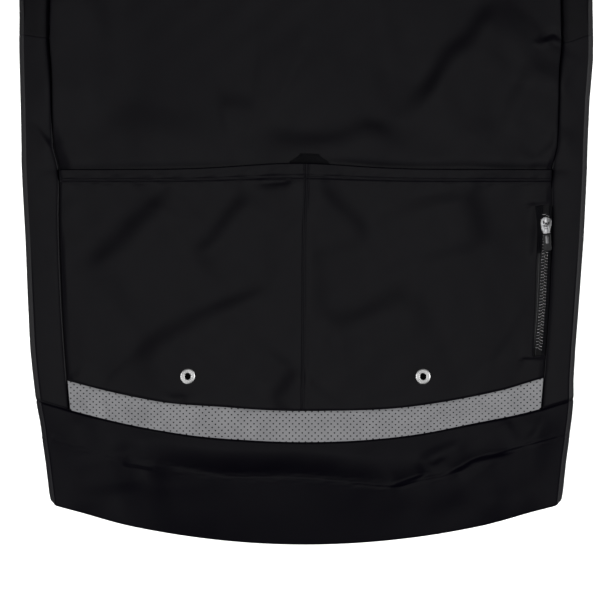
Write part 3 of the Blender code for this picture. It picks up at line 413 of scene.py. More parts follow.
def near_neck(x, along):
    return smooth((along - 600) / 65) * (1.0 - smooth((abs(x) - 40) / 42))


def under_pocket(along):
    return smooth((along - 95) / 30) * (1.0 - smooth((along - 290) / 30))


def resting_height(x, along):
    """Outer face of the back layer over the front, without creases."""
    pocket = under_pocket(along)
    over_hem = 1.0 - smooth((along - 80) / 25)
    height = REST_HEIGHT + 3.4 * near_neck(x, along) - 1.1 * pocket
    return height + 0.6 * (1 + pocket - over_hem) * bell(x, 26)


def shoulder_distance(x, along):
    dx, da = SHOULDER - NECK
    t = np.clip(((abs(x) - NECK[0]) * dx + (along - NECK[1]) * da) / (dx * dx + da * da), 0, 1)
    return np.hypot(abs(x) - NECK[0] - t * dx, along - NECK[1] - t * da)


def seam_valley(x, along):
    """Each side seam lies in a valley that is steepest at the seam; the back's edge mostly stands up."""
    outward = abs(x) - side_seam(along)
    total = 0.0
    for is_side, seam, hollow in ((x < 0, LEFT_SEAM, LEFT_HOLLOW), (x >= 0, RIGHT_SEAM, RIGHT_HOLLOW)):
        depth, width = read_off(seam, along, "depth", "width")
        beside = depth * lerp(np.exp(-abs(outward) / width), np.exp(-abs(outward) / 1.3), 0.6)
        depth, width = read_off(hollow, along, "depth", "width")
        within = depth * np.maximum(0, 1 - abs(outward) / width)**1.3
        total = total - is_side * np.where(outward > -0.01, beside, within)
    return total * smooth((540 - along) / 20) * smooth((along - tail_curve(x) - HEM_SEAM) / 5 + 0.6)


def below_fold_top(along):
    return smooth((FOLD_TOP - along) / 30)


def upper_height(x, along):
    """Outer face of the back layer, without creases. The side panels stand as high as the pocket."""
    beside_pocket = 1.1 * under_pocket(along) * smooth((abs(x) - side_seam(along) + 1.5) / 1.5)
    height = resting_height(x, along) + beside_pocket
    from_side = np.maximum(0, half_width(along) - FOLD_RADIUS - abs(x))
    from_fold = np.hypot(from_side, np.maximum(0, along - UNDERARM[1]))
    height = lerp(height, 2 * FOLD_RADIUS + FOLD_BULGE * below_fold_top(along), bell(from_fold, 34))
    height = height + seam_valley(x, along)
    return lerp(height, 2 * CRISP_RADIUS, bell(shoulder_distance(x, along), 14))


def soft_waves(x, along):
    return 0.35 * ripple(x, along, 21, 90) + 0.08 * ripple(x, along, 22, 34)


# The turned-up hem's edge wanders off its level where the cloth buckles, and stands up as a ridge where it
# lies on the front's edge.
hem_edge = curve_through((-230, -200, -120, -68, -5, 42, 78, 95, 121, 134, 163, 200, 230),
                         (58, 58, 55.5, 54.5, 56.5, 51, 46, 48, 49, 51, 58, 59, 58))
hem_ridge = curve_through((-230, -160, -135, -112, -80, -40, 15, 50, 78, 95, 120, 160, 230),
                          (0.3, 0.5, 1.4, 3.6, 4.4, 4.7, 4.7, 3.8, 2.8, 2.0, 1.6, 0.8, 0.3))


def hem_relief(x, along):
    """The ridge's far side is steep and hollow; on its near side the tail slopes evenly to the floor."""
    above = along - tail_curve(x) - hem_edge(x)
    rounded = np.hypot(above, 2.4) - 2.4
    steep = hem_ridge(x) * np.maximum(0, 1 - rounded / 20)**1.5
    fall = hem_ridge(x) + REST_HEIGHT - HEM_WALL - 2.4 * bell(x, 150)
    return np.where(above > 0, steep, hem_ridge(x) - fall * rounded / hem_edge(x))


def fold_fall(from_outline, along):
    """How far the upper face falls towards the side fold."""
    beyond = 1 - np.clip(from_outline / FOLD_REACH, 0, 1)
    return (FOLD_RADIUS + FOLD_BULGE) * beyond * (0.82 + 0.18 * beyond) * below_fold_top(along)


def back_height(x, along):
    """Outer face of the back layer with its creases, which die out towards the side fold."""
    from_edge = smooth((half_width(along) - FOLD_RADIUS - abs(x)) / 30)
    hem = creases(x, along, HEM_CREASES) * smooth((HEM_SEAM + 34 - along) / 20) + hem_relief(x, along)
    relief = (creases(x, along, BACK_CREASES) + hem + soft_waves(x, along)) * from_edge
    return upper_height(x, along) + relief - fold_fall(half_width(along) - abs(x), along)


def pocket_height(x, along):
    gape = MOUTH_GAPE * np.exp(-(x / 60)**2 - ((along - POCKET_TOP) / 45)**2)
    relief = creases(x, along, POCKET_CREASES) + 1.2 * soft_waves(x, along)
    inside = smooth((side_seam(along) - abs(x)) / 5)
    return resting_height(x, along) + WALL + SEAM_GAP + 0.4 * inside + gape + relief * (0.3 + 0.7 * inside)


def relaid(points):
    """Lays the upper layer of a grid on the creased back, and flattens the upper half of its side folds."""
    x, along, z = points[..., 0], points[..., 1] + LENGTH / 2, points[..., 2]
    upper = z > FOLD_RADIUS
    from_outline = half_width(along) - abs(x)
    on_top = from_outline >= FOLD_RADIUS - 0.01
    oval = 2 * FOLD_RADIUS + FOLD_BULGE - fold_fall(from_outline, 0.0)
    z = np.where(upper & ~on_top & (along < FOLD_TOP), lerp(z, oval, below_fold_top(along)), z)
    points[..., 2] = np.where(upper & on_top, back_height(x, along), z)
    return points


def as_it_lies(points):
    """Moves points to where they lie: the side panels drawn out or in, and the levels of the tail, the
    hem's seam, the band's upper edge and the underarm seams drawn up or down."""
    x, along = points[..., 0], points[..., 1] + LENGTH / 2
    at_fold = np.where(x < 0, *read_off(LIE_SECTIONS, along, "left", "right"))
    seam = side_seam(along)
    sideways = at_fold * np.clip((abs(x) - seam) / (half_width(along) - seam), 0, 1)
    tail = -1.6 * smooth((196 - abs(x)) / 50)
    hem = -0.9 * smooth((-40 - x) / 60) + 1.5 * bell(x - 140, 34)
    band = -3.0 * smooth((-62 - x) / 65) - 2.0 * smooth((x - 10) / 80) * (1 - 0.6 * smooth((x - 165) / 30))
    level = along - tail_curve(x)
    lengthways = lerp(lerp(tail, hem, np.clip(level / HEM_SEAM, 0, 1)), band,
                      smooth((level - HEM_SEAM) / (BAND_TOP - HEM_SEAM)))
    lengthways = lengthways * (1 - smooth((level - BAND_TOP) / 60))
    on_panel = smooth((abs(x) - 190) / 20) * smooth((half_width(along) - abs(x)) / 24)
    underarm = np.where(x > 0, 6.5, 2.5) * (bell(along - UNDERARM_SEAM, 24) * on_panel)
    lengthways = lengthways - underarm
    return points + np.stack([sideways * (along < FOLD_TOP), lengthways, 0 * x], axis=-1)


# ---- meshes ----

def add_object(name, data):
    made = bpy.data.objects.new(name, data)
    bpy.context.scene.collection.objects.link(made)
    return made


def new_mesh(name, vertices, faces, material, sharp=45, laid=True):
    """An object from vertices in millimetres; faces is a list of rows of vertex numbers."""
    vertices = np.asarray(vertices, float)
    if laid:
        vertices = as_it_lies(vertices)
    mesh = bpy.data.meshes.new(name)
    mesh.from_pydata((vertices * MM).tolist(), [], faces)
    mesh.materials.append(material)
    mesh.shade_smooth()
    mesh.set_sharp_from_angle(angle=math.radians(sharp))
    return add_object(name, mesh)


def tube_faces(first, rings, around, closed=False):
    """Faces between rings of vertices that are numbered from first, with around vertices each."""
    return [(first + k * around + m, first + (k + 1) % rings * around + m,
             first + (k + 1) % rings * around + (m + 1) % around, first + k * around + (m + 1) % around)
            for k in range(rings if closed else rings - 1) for m in range(around)]


def unit(vectors):
    return vectors / np.maximum(np.linalg.norm(vectors, axis=-1, keepdims=True), 1e-9)


def drawn_in(points, closed):
    """The grid with its edges drawn in by half a seam gap, so that neighbours stay apart."""
    points = points.copy()
    edges = [(points[0], points[1]), (points[-1], points[-2])]
    if not closed:
        edges += [(points[:, 0], points[:, 1]), (points[:, -1], points[:, -2])]
    for edge, inner in edges:
        edge += unit(inner - edge) * (CLOSED_GAP / 2)
    return points


def cloth(node, points, material, detail=0.0, thick=WALL, closed=False, holes=None, slot="softshell"):
    """A closed shell of cloth that stands for a node. points is the plain outer face, detail moves the outer
    face off it, and holes marks the cells that are left out."""
    points = drawn_in(points, closed)
    if closed:
        across = np.roll(points, -1, axis=1) - np.roll(points, 1, axis=1)
    else:
        across = np.gradient(points, axis=1)
    normals = unit(np.cross(across, np.gradient(points, axis=0)))
    rows, cols = points.shape[:2]
    thick, detail = (np.broadcast_to(part, (rows, cols))[..., None] for part in (thick, detail))
    number = np.arange(rows * cols).reshape(rows, cols)
    right = np.roll(number, -1, axis=1) if closed else number[:, 1:]
    left = number if closed else number[:, :-1]
    keep = np.ones(left[1:].shape, bool) if holes is None else ~holes
    quads = np.stack([part[keep] for part in (left[:-1], right[:-1], right[1:], left[1:])], axis=1)
    count = rows * cols
    edges = np.concatenate([quads[:, [k, (k + 1) % 4]] for k in range(4)])
    rim = edges[~np.isin(edges[:, 0] * count + edges[:, 1], edges[:, 1] * count + edges[:, 0])]
    rims = np.stack([rim[:, 1], rim[:, 0], rim[:, 0] + count, rim[:, 1] + count], axis=1)
    faces = np.concatenate([quads, quads[:, ::-1] + count, rims])
    used, faces = np.unique(faces, return_inverse=True)
    outer, inner = points + normals * detail, points - normals * thick
    vertices = np.concatenate([outer.reshape(-1, 3), inner.reshape(-1, 3)])[used]
    piece = new_mesh(f"{node}_cloth", vertices, faces.reshape(-1, 4).tolist(), material)
    return garment(piece, node, slot=slot)


def grid(x, along, z):
    """Points of the frame. z is a height, or a function of x and along that gives it."""
    x, along, z = np.broadcast_arrays(x, along, z(x, along) if callable(z) else z)
    return np.stack([x, along - LENGTH / 2, z], axis=-1).astype(float)


def mirror(points):
    """The left-hand twin of a grid."""
    return points[:, ::-1] * np.array((-1.0, 1.0, 1.0))


def both_sides(right):
    return ("right", right), ("left", mirror(right))


def whole_ring(*right_half):
    """Left half, middle and right half of rings whose first column is the middle."""
    right_half = np.concatenate(right_half, axis=1)
    return np.concatenate([mirror(right_half[:, 1:]), right_half], axis=1)


def garment(piece, *nodes, slot="softshell", body="garment"):
    """Puts a piece on a body, standing for CAD nodes."""
    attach(piece, body)
    if nodes:
        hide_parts(*nodes)
    return piece


# ---- materials ----

def new_material(name, colour, roughness, metallic=0.0, specular=0.5):
    material = bpy.data.materials.new(name)
    material.use_nodes = True
    shader = material.node_tree.nodes["Principled BSDF"]
    for socket, value in (("Base Color", (*colour, 1.0)), ("Roughness", roughness), ("Metallic", metallic),
                          ("Specular IOR Level", specular)):
        shader.inputs[socket].default_value = value
    return material


class Nodes:
    """Adds nodes to a material, in object coordinates."""

    def __init__(self, material):
        self.tree = material.node_tree
        self.shader = self.tree.nodes["Principled BSDF"]
        self.place = self.add("ShaderNodeTexCoord").outputs["Object"]
        self.height = None

    def add(self, kind, **inputs):
        node = self.tree.nodes.new(kind)
        for socket, value in inputs.items():
            self.put(node.inputs[socket.replace("_", " ")], value)
        return node

    def put(self, socket, value):
        if isinstance(value, bpy.types.NodeSocket):
            self.tree.links.new(value, socket)
        else:
            socket.default_value = value

    def noise(self, size, detail=2.0, stretch=(1, 1, 1)):
        """A noise whose grain is about size millimetres."""
        place = self.add("ShaderNodeMapping", Vector=self.place, Scale=stretch).outputs["Vector"]
        return self.add("ShaderNodeTexNoise", Vector=place, Scale=1000 / size, Detail=detail).outputs["Fac"]

    def bands(self, pitch, direction, turn=0.0):
        """Ribs of a pitch in millimetres across a direction, turned by degrees."""
        place = self.add("ShaderNodeMapping", Vector=self.place, Rotation=(0, 0, math.radians(turn)))
        node = self.add("ShaderNodeTexWave", Vector=place.outputs["Vector"], Scale=0.31416 * 1000 / pitch)
        node.bands_direction = direction
        return node.outputs["Fac"]

    def mix(self, operation, a, b):
        node = self.add("ShaderNodeMath")
        node.operation = operation
        self.put(node.inputs[0], a)
        self.put(node.inputs[1], b)
        return node.outputs[0]

    def bump(self, height, depth):
        """Adds a bump of a depth in millimetres."""
        node = self.add("ShaderNodeBump", Height=height, Distance=depth * MM)
        if self.height is not None:
            self.put(node.inputs["Normal"], self.height)
        self.height = node.outputs["Normal"]
        self.put(self.shader.inputs["Normal"], self.height)

    def colour(self, factor, *stops):
        """Colours at places from 0 to 1."""
        node = self.add("ShaderNodeValToRGB", Fac=factor)
        for element, (place, colour) in zip(node.color_ramp.elements, stops):
            element.position = place
            element.color = (*colour, 1.0)
        self.put(self.shader.inputs["Base Color"], node.outputs["Color"])

    def shades(self, factor, colour, *stops):
        """Shades of one colour, as what it is multiplied by at places from 0 to 1."""
        self.colour(factor, *((place, [part * times for part in colour]) for place, times in stops))

    def roughness(self, size, low, high, detail=2.0):
        node = self.add("ShaderNodeMapRange", Value=self.noise(size, detail), To_Min=low, To_Max=high)
        self.put(self.shader.inputs["Roughness"], node.outputs["Result"])


def woven(name, colour, pitch, depth, roughness, specular):
    """Cloth: two crossed sets of ribs, a fibre grain, and a colour that varies softly."""
    material = new_material(name, colour, roughness, specular=specular)
    nodes = Nodes(material)
    weave = nodes.mix("MULTIPLY", nodes.bands(pitch, "X", 4), nodes.bands(pitch * 0.8, "Y", 4))
    nodes.bump(nodes.noise(0.35, 3.0), depth * 0.6)
    nodes.bump(weave, depth)
    patches = nodes.mix("ADD", nodes.noise(26), nodes.mix("MULTIPLY", nodes.noise(1.3), 0.5))
    nodes.shades(patches, colour, (0.45, 0.94), (1.05, 1.06))
    nodes.roughness(9, roughness - 0.015, roughness + 0.015)
    return material


def ribbed(name, colour, pitch, depth, direction="X", roughness=0.95, specular=0.02):
    """Stretch knit: fine ribs that run one way."""
    material = new_material(name, colour, roughness, specular=specular)
    nodes = Nodes(material)
    nodes.bump(nodes.noise(0.5, 2.0, (1, 0.3, 1)), depth * 0.4)
    nodes.bump(nodes.bands(pitch, direction), depth)
    nodes.shades(nodes.noise(14), colour, (0.3, 0.85), (0.7, 1.15))
    return material


def reflective_film(name):
    material = new_material(name, (0.2, 0.2, 0.21), 0.5, specular=0.1)
    nodes = Nodes(material)
    beads = nodes.noise(0.5, 1.0)
    nodes.bump(beads, 0.03)
    blotches = nodes.mix("ADD", nodes.noise(18, 3.0), nodes.mix("MULTIPLY", beads, 0.35))
    nodes.colour(blotches, (0.45, (0.078, 0.078, 0.082)), (0.9, (0.098, 0.098, 0.102)))
    nodes.roughness(6, 0.42, 0.58)
    return material


def metal(name, colour, roughness, scratch):
    material = new_material(name, colour, roughness, metallic=1.0)
    nodes = Nodes(material)
    nodes.bump(nodes.noise(0.6, 3.0, (1, 0.2, 1)), scratch)
    nodes.roughness(2.0, roughness * 0.75, roughness * 1.3, detail=3.0)
    nodes.shades(nodes.noise(3.0), colour, (0.3, 0.9), (0.7, 1.0))
    return material


def moulded(name, colour, roughness, specular, grain):
    material = new_material(name, colour, roughness, specular=specular)
    nodes = Nodes(material)
    nodes.bump(nodes.noise(0.4), grain)
    nodes.roughness(1.5, roughness * 0.85, roughness * 1.15)
    nodes.shades(nodes.noise(4.0), colour, (0.3, 0.9), (0.7, 1.1))
    return material


SOFTSHELL = woven("softshell_cloth", (0.0004, 0.0003, 0.0008), 0.62, 0.012, 0.43, 0.0265)
HEM_CLOTH = woven("hem_cloth", (0.0002, 0.0001, 0.0007), 0.55, 0.012, 0.40, 0.0187)
KNIT = ribbed("stretch_knit_cloth", (0.0008, 0.0007, 0.0011), 0.9, 0.02, roughness=0.45, specular=0.0235)
# The patch's knit is duller and darker than the underarm knit: a dark knit, with painted shade added for the
# gap at the pocket's mouth where it lies.
PATCH_KNIT_PAINTED_SHADE = ribbed("patch_knit_painted_shade_cloth", (0.0014, 0.0014, 0.0017), 0.9, 0.06)
# A nearly black knit for the discs behind the eyelets' holes: painted shade.
EYELET_PAINTED_SHADE_KNIT = ribbed("eyelet_painted_shade_knit", (0.0004, 0.0004, 0.0005), 0.9, 0.03)
FILM = reflective_film("reflective_film")
TAPE = woven("zip_tape_cloth", (0.0006, 0.0006, 0.001), 0.7, 0.03, 0.45, 0.058)
# A duller copy of the zip tape's finish that paints in shade: on the pocket zip's right tape, and on its
# left tape under the slot's lip.
PAINTED_SHADE_TAPE = woven("zip_tape_cloth_painted_shade", (0.0006, 0.0006, 0.001), 0.7, 0.03, 0.5, 0.014)
THREAD = ribbed("thread", (0.006, 0.006, 0.0065), 0.25, 0.03, "Y")
RING = metal("ring_satin_metal", (0.24, 0.24, 0.24), 0.5, 0.01)
NICKEL = metal("zip_nickel", (0.07, 0.07, 0.072), 0.3, 0.03)
INLAY = metal("tab_inlay_metal", (0.032, 0.032, 0.033), 0.32, 0.02)
TEETH = moulded("zip_moulded_teeth", (0.024, 0.024, 0.025), 0.16, 1.0, 0.004)
RUBBER = moulded("pull_moulded_rubber", (0.003, 0.003, 0.0034), 0.5, 0.08, 0.01)


# ---- the body's rings: flat back, side fold, flat front ----

ARC_ANGLES = np.linspace(90, -90, 13)[1:-1]
SIDE_ACROSS = ruler(0, 0.5, 4, 1.7, 24) / 24     # from the seam to where the roll over the fold begins
UNDER_ACROSS = ruler(0, 5, 27) / 27              # and from the fold back to the seam, underneath


def towards_fold(start, fold_x, shares):
    """Columns from start to the side fold, with close ones where the roll over the fold begins."""
    roll = FOLD_REACH - FOLD_RADIUS
    last = fold_x - roll * np.concatenate([(1.02, 1.0, 0.98), ruler(0.8, 0.2, 0)])
    return np.concatenate([lerp(start, fold_x - 1.06 * roll, shares), last], axis=1)


def fold_arc(x, along, radius=FOLD_RADIUS, out=(1, 0), angles=ARC_ANGLES):
    """Round a fold from its upper to its lower side, outward in a direction of the plan."""
    angle = np.radians(angles)
    reach = radius * np.cos(angle)
    return grid(x + out[0] * reach, along + out[1] * reach, radius * (1 + np.sin(angle)))


def build_hem():
    levels = ruler(0, 0.6, 3, 1.7, 40, 0.9, 62, 1.7, 81, 0.6, HEM_SEAM)
    level = levels[:, None]
    at_fold = fold_along(level)
    fold_x = half_width(at_fold) - FOLD_RADIUS

    def round_corner(x):
        """How far the bottom corners are rounded off, upward."""
        inside = np.clip(x - half_width(at_fold) + CORNER, 0, CORNER)
        return (CORNER - np.sqrt(CORNER**2 - inside**2)) * np.maximum(0.0, 1.0 - level / 12)**1.5

    x = towards_fold(0.0, fold_x, ruler(0, 2.3, 196, 0.8, 204)[None, :] / 204)
    back = grid(x, back_along(level, x) + round_corner(x), 2 * FOLD_RADIUS)
    arc = fold_arc(fold_x, at_fold)
    arc[..., 1] += round_corner(arc[..., 0])
    x = lerp(fold_x, ZIP_HALF_OPENING, ruler(0, 6.0, 206)[None, :] / 206)
    ring = relaid(whole_ring(back, arc, grid(x, front_along(level, x) + round_corner(x), lower_height)))
    x = ring[..., 0]
    on_back = abs(np.arange(ring.shape[1]) - ring.shape[1] // 2) < back.shape[1]
    from_edge = level - np.where(on_back, hem_edge(x), HEM_STITCH)
    shown = np.where(on_back, 1 - smooth((x + 200) / 16) * (1 - smooth((x + 84) / 16)), 1.0)
    turned_up = 0.3 * (1 - smooth((from_edge + 1.0) / 2.0)) * shown
    grooved = np.where(on_back, shown * smooth((x - 36) / 10) * (1 - bell(x - 138, 34)), 1.0)
    groove = -0.35 * bell(from_edge + 2.4, 0.7) * grooved
    bottom = -0.9 * np.maximum(0, 1 - level / 1.3)**2
    top = -0.55 * bell(HEM_SEAM - level, 1.1)
    puckers = 0.08 * ripple(x, level * 3, 31, 9) * bell(from_edge + 1.0, 5)
    thick = np.where(level < HEM_STITCH, HEM_WALL, WALL)
    hem = cloth("hem_band", ring, HEM_CLOTH, turned_up + groove + bottom + top + puckers, thick)


# ---- side and underarm panels ----

def side_ring(levels):
    """Rings of the right side panel: seam, back, fold, front, seam."""
    level = np.asarray(levels, float)[:, None]
    at_fold = fold_along(level)
    seam, fold_x = panel_seam(level), half_width(at_fold) - FOLD_RADIUS
    over, under = towards_fold(seam, fold_x, SIDE_ACROSS[None, :]), lerp(fold_x, seam, UNDER_ACROSS[None, :])
    return np.concatenate([grid(over, back_along(level, over), back_height), fold_arc(fold_x, at_fold),
                           grid(under, front_along(level, under), lower_height)], axis=1)


def seam_roll(distance, depth=0.65, width=1.1):
    """How a panel's edge turns down into its seam."""
    return -depth * bell(distance, width)


def edge_distance(points):
    """Distance of each point of a grid to its first and last column and its first and last row."""
    across = np.cumsum(np.linalg.norm(np.diff(points, axis=1, prepend=points[:, :1]), axis=2), axis=1)
    upward = np.cumsum(np.linalg.norm(np.diff(points, axis=0, prepend=points[:1]), axis=2), axis=0)
    return across, across[:, -1:] - across, upward, upward[-1:] - upward


def build_sides():
    for name, points in both_sides(side_ring(ruler(HEM_SEAM, 0.6, 88, 1.9, 423, 0.7, UNDERARM_SEAM))):
        points = relaid(points)
        first, last, low, high = edge_distance(points)
        detail = seam_roll(first, *SIDE_ROLL) + seam_roll(last) + seam_roll(low)
        detail = detail + seam_roll(high, *UNDERARM_ROLL)
        side = cloth(f"side_panel_{name}", points, SOFTSHELL, detail)


def armhole(pull, shares, upper):
    """Points of the right armhole, from the underarm up to the shoulder."""
    end = np.array((SHOULDER[0] - CRISP_RADIUS * 0.34, SHOULDER[1] - CRISP_RADIUS * 0.94))
    t = np.asarray(shares)[:, None]
    s = 1.0 - t
    at = (UNDERARM - UNDERARM_OUTWARD * FOLD_RADIUS) * s**3 + pull[0] * (3 * s * s * t)
    at = at + pull[1] * (3 * s * t * t) + end * t**3
    return grid(at[:, 0], at[:, 1], back_height if upper else lower_height)


def underarm_arc():
    return fold_arc(*(UNDERARM - UNDERARM_OUTWARD * FOLD_RADIUS), out=UNDERARM_OUTWARD)


def gusset(shares):
    """Grid of the right underarm panel, from the side panel up to the armhole."""
    low = side_ring([UNDERARM_SEAM])[0]
    towards = towards_fold(np.zeros((1, 1)), np.full((1, 1), 24.0), SIDE_ACROSS[None, :])[0] / 24
    over = armhole(BACK_ARMHOLE_PULL, GUSSET_SHARE * (1 - towards), upper=True)
    under = armhole(FRONT_ARMHOLE_PULL, GUSSET_SHARE * UNDER_ACROSS, upper=False)
    return lerp(low, np.concatenate([over, underarm_arc(), under]), np.asarray(shares)[:, None, None])


def build_underarms():
    for name, points in both_sides(gusset(ruler(0, 0.6, 3, 2.0, 50, 0.8, 52) / 52)):
        points = relaid(points)
        first, last, low, high = edge_distance(points)
        detail = sum(seam_roll(d) for d in (first, last, high)) + seam_roll(low, *UNDERARM_ROLL)
        panel = cloth(f"underarm_panel_{name}", points, KNIT, detail, slot="stretch_knit")


# ---- back, fronts and collar ----

def neck_seam(x, depth):
    share = np.minimum(1.0, abs(x) / NECK[0])
    return NECK[1] - depth * np.maximum(0, 1.0 - share * share)**0.8


def body_panel(levels, columns_at, pull, neck_depth, upper):
    """Right half of the back, or the right front: rows of x, along. columns_at gives the columns for
    the x of the edges."""
    level = levels[:, None]
    below_x = columns_at(panel_seam(level))
    beside = gusset(ruler(0, 2.4, 91)[1:-1] / 91)[:, 0 if upper else -1]
    beside_x = columns_at(beside[:, 0:1])
    edge = armhole(pull, ruler(GUSSET_SHARE * 180, 3.6, 180) / 180, upper)
    edge_along = edge[:, 1:2] + LENGTH / 2
    x = columns_at(edge[:, 0:1])
    share = (abs(x) - NECK[0]) / (SHOULDER[0] - NECK[0])
    top = np.where(abs(x) <= NECK[0], neck_seam(x, neck_depth), lerp(NECK[1], SHOULDER[1], share))
    along = lerp(SIDE_SEAM_TOP, top, (edge_along - edge_along[0]) / (edge_along[-1] - edge_along[0]))
    along[:, np.argmax(abs(x[0]))] = edge_along[:, 0]
    below = (back_along if upper else front_along)(level, below_x)
    return (np.concatenate([below_x, beside_x, x]),
            np.concatenate([below, beside[:, 1:2] + LENGTH / 2 + 0 * beside_x, along]))


def build_back():
    levels = ruler(HEM_SEAM, 6, 108, 14, 290, 4, 306, 1.6, UNDERARM_SEAM)
    shares = ruler(0, 2.1, 200, 0.6, 206) / 206
    half = body_panel(levels, lambda edge: shares * edge, BACK_ARMHOLE_PULL, BACK_NECK_DEPTH, upper=True)
    x, along = (np.concatenate([sign * part[:, :0:-1], part], axis=1) for sign, part in zip((-1, 1), half))
    just_inside = np.sign(x) * np.maximum(0, abs(x) - 0.02)
    hidden = smooth((along - 96) / 8) * (1 - smooth((along - POCKET_TOP + 6) / 4))
    relief = creases(x, along, POCKET_CREASES) + soft_waves(x, along)
    relief = relief * (0.3 + 0.7 * smooth((side_seam(along) - abs(x)) / 5))
    behind_pocket = resting_height(x, along) + relief - 0.15
    points = grid(x, along, lerp(back_height(just_inside, along), behind_pocket, hidden))
    first, last, low, high = edge_distance(points)
    detail = sum(seam_roll(d, *BACK_ROLL) for d in (first, last)) + seam_roll(low) + seam_roll(high)
    back = cloth("back_panel", points, SOFTSHELL, detail)


def build_fronts():
    levels = ruler(HEM_SEAM, 1.0, 88, 6, 423, 1.0, UNDERARM_SEAM)
    shares = ruler(0, 0.6, 4, 5.0, 204, 0.8, 208)[None, :] / 208
    x, along = body_panel(levels, lambda edge: lerp(edge, ZIP_HALF_OPENING, shares), FRONT_ARMHOLE_PULL,
                          FRONT_NECK_DEPTH, upper=False)
    for name, points in both_sides(grid(x, along, lower_height)):
        front = cloth(f"front_{name}", points, SOFTSHELL, sum(seam_roll(d) for d in edge_distance(points)))


def build_collar():
    share = ruler(0, 0.6, 3, 1.8, 50, 0.6, COLLAR_WIDTH)[:, None] / COLLAR_WIDTH

    def place(x, neck_depth, low_top):
        """Seam, x and along of the collar's columns, which start at x on the neck."""
        seam = neck_seam(x, neck_depth)
        top = lerp(low_top, LENGTH, (abs(x) / NECK[0])**2)
        return seam, x * (1.0 - COLLAR_NARROWS / NECK[0] * share), lerp(seam, top, share)

    start_x = ruler(0, 2.4, NECK[0])[None, :]
    seam, x, along = place(start_x, BACK_NECK_DEPTH, COLLAR_BACK_TOP)
    from_fold = NECK[0] - abs(start_x)
    height = resting_height(x, np.minimum(along, NECK[1]))
    height = height + 0.35 * ripple(x, along, 51, 34) * smooth(share * 3) * smooth(from_fold / 10)
    height = lerp(height, 2 * CRISP_RADIUS, bell(from_fold, 14))
    back = grid(x, along, lerp(back_height(start_x, seam), height, smooth(share * 6)))
    arc = fold_arc(back[:, -1:, 0], back[:, -1:, 1] + LENGTH / 2, CRISP_RADIUS)
    _, x, along = place(ruler(NECK[0], 4.0, ZIP_HALF_OPENING)[None, :], FRONT_NECK_DEPTH, COLLAR_FRONT_TOP)
    ring = whole_ring(back, arc, grid(x, along, lower_height))
    rise = share * COLLAR_WIDTH
    to_edge = COLLAR_WIDTH - rise
    detail = seam_roll(rise) - 0.8 * np.maximum(0, 1 - to_edge / 1.5)**2
    detail = detail - 0.3 * bell(to_edge - 5, 0.7) + 0.25 * (1 - smooth((to_edge - 5) / 2))
    collar = cloth("collar", ring, SOFTSHELL, detail)


# ---- sleeves ----

SLEEVE_ACROSS = ruler(0, 0.025, 1)


def sleeve_rings():
    """Coarse rings of the right sleeve, each with the same columns: upper layer, inner fold, lower
    layer, outer fold."""
    upper = armhole(BACK_ARMHOLE_PULL, 1 - SLEEVE_ACROSS, upper=True)
    slope = math.atan2(NECK[1] - SHOULDER[1], SHOULDER[0] - NECK[0])
    out = (math.sin(slope), math.cos(slope))
    shoulder = fold_arc(upper[0, 0], upper[0, 1] + LENGTH / 2, CRISP_RADIUS, out, ARC_ANGLES[::-1])
    lower = armhole(FRONT_ARMHOLE_PULL, SLEEVE_ACROSS, upper=False)
    rings = [np.concatenate([upper, underarm_arc(), lower, shoulder])]
    outer = SHOULDER.copy()
    for section in SLEEVE_SECTIONS:
        heading, line = math.radians(section.heading), math.radians(section.line)
        outer = outer + np.array((math.cos(heading), -math.sin(heading))) * section.step
        rings.append(sleeve_ring(outer, np.array((math.cos(line), math.sin(line))), section.width))
    return np.array(rings)


def sleeve_ring(outer, out, width):
    """A flat ring from its outer edge and the direction in the plan from its inner edge to that."""
    flat = width - 2 * FOLD_RADIUS
    inner = outer - out * (width - FOLD_RADIUS)
    x, along = (inner + out * (flat * SLEEVE_ACROSS)[:, None]).T
    near_edge = bell(flat * SLEEVE_ACROSS, 14) + bell(flat * (1 - SLEEVE_ACROSS), 14)
    height = lerp(REST_HEIGHT, 2 * FOLD_RADIUS, np.minimum(1.0, near_edge))
    inner_fold = fold_arc(x[0], along[0], out=-out)
    outer_fold = fold_arc(x[-1], along[-1], out=out, angles=ARC_ANGLES[::-1])
    return np.concatenate([grid(x, along, height)[::-1], inner_fold, grid(x, along, 0.0), outer_fold])


def build_sleeves():
    rings = sleeve_rings()
    distances = np.concatenate([[0.0], np.cumsum(SLEEVE_SECTIONS.step)])
    end = distances[-1]
    stations = ruler(0, 0.7, 4, 5.0, end - 32, 0.9, end - 24, 4.0, end - 4, 0.8, end)
    fine = curve_through(distances, rings.reshape(len(rings), -1))(stations).reshape(len(stations), -1, 3)
    station, top = stations[:, None], len(SLEEVE_ACROSS)
    across = ruler(1, 0.05, -1)
    half = np.linalg.norm(fine[:, 0, :2] - fine[:, top - 1, :2], axis=1)[:, None] / 2
    x, along = np.broadcast_arrays(across * half, station)
    relief = creases(x, along, SLEEVE_CREASES) + 0.2 * ripple(x, along, 61, 60)
    relief = relief * smooth((1 - abs(across)) * 6)
    to_stitch = end - station - CUFF_STITCH
    detail = seam_roll(station) - 0.35 * bell(to_stitch, 0.8) + 0.3 * (1 - smooth(to_stitch / 2.5))
    detail = detail - 0.8 * np.maximum(0, 1 - (end - station) / 1.5)**2
    for name, share in (("right", 1.0), ("left", 0.8 + 0.3 * np.sin(station / 90))):
        points = fine.copy()
        points[:, :top, 2] += relief * share * smooth(station / 30)
        if name == "left":
            points = mirror(points)
        sleeve = cloth(f"sleeve_{name}", points, SOFTSHELL, detail, closed=True)


# ---- pocket, reflective band, patch and eyelets ----

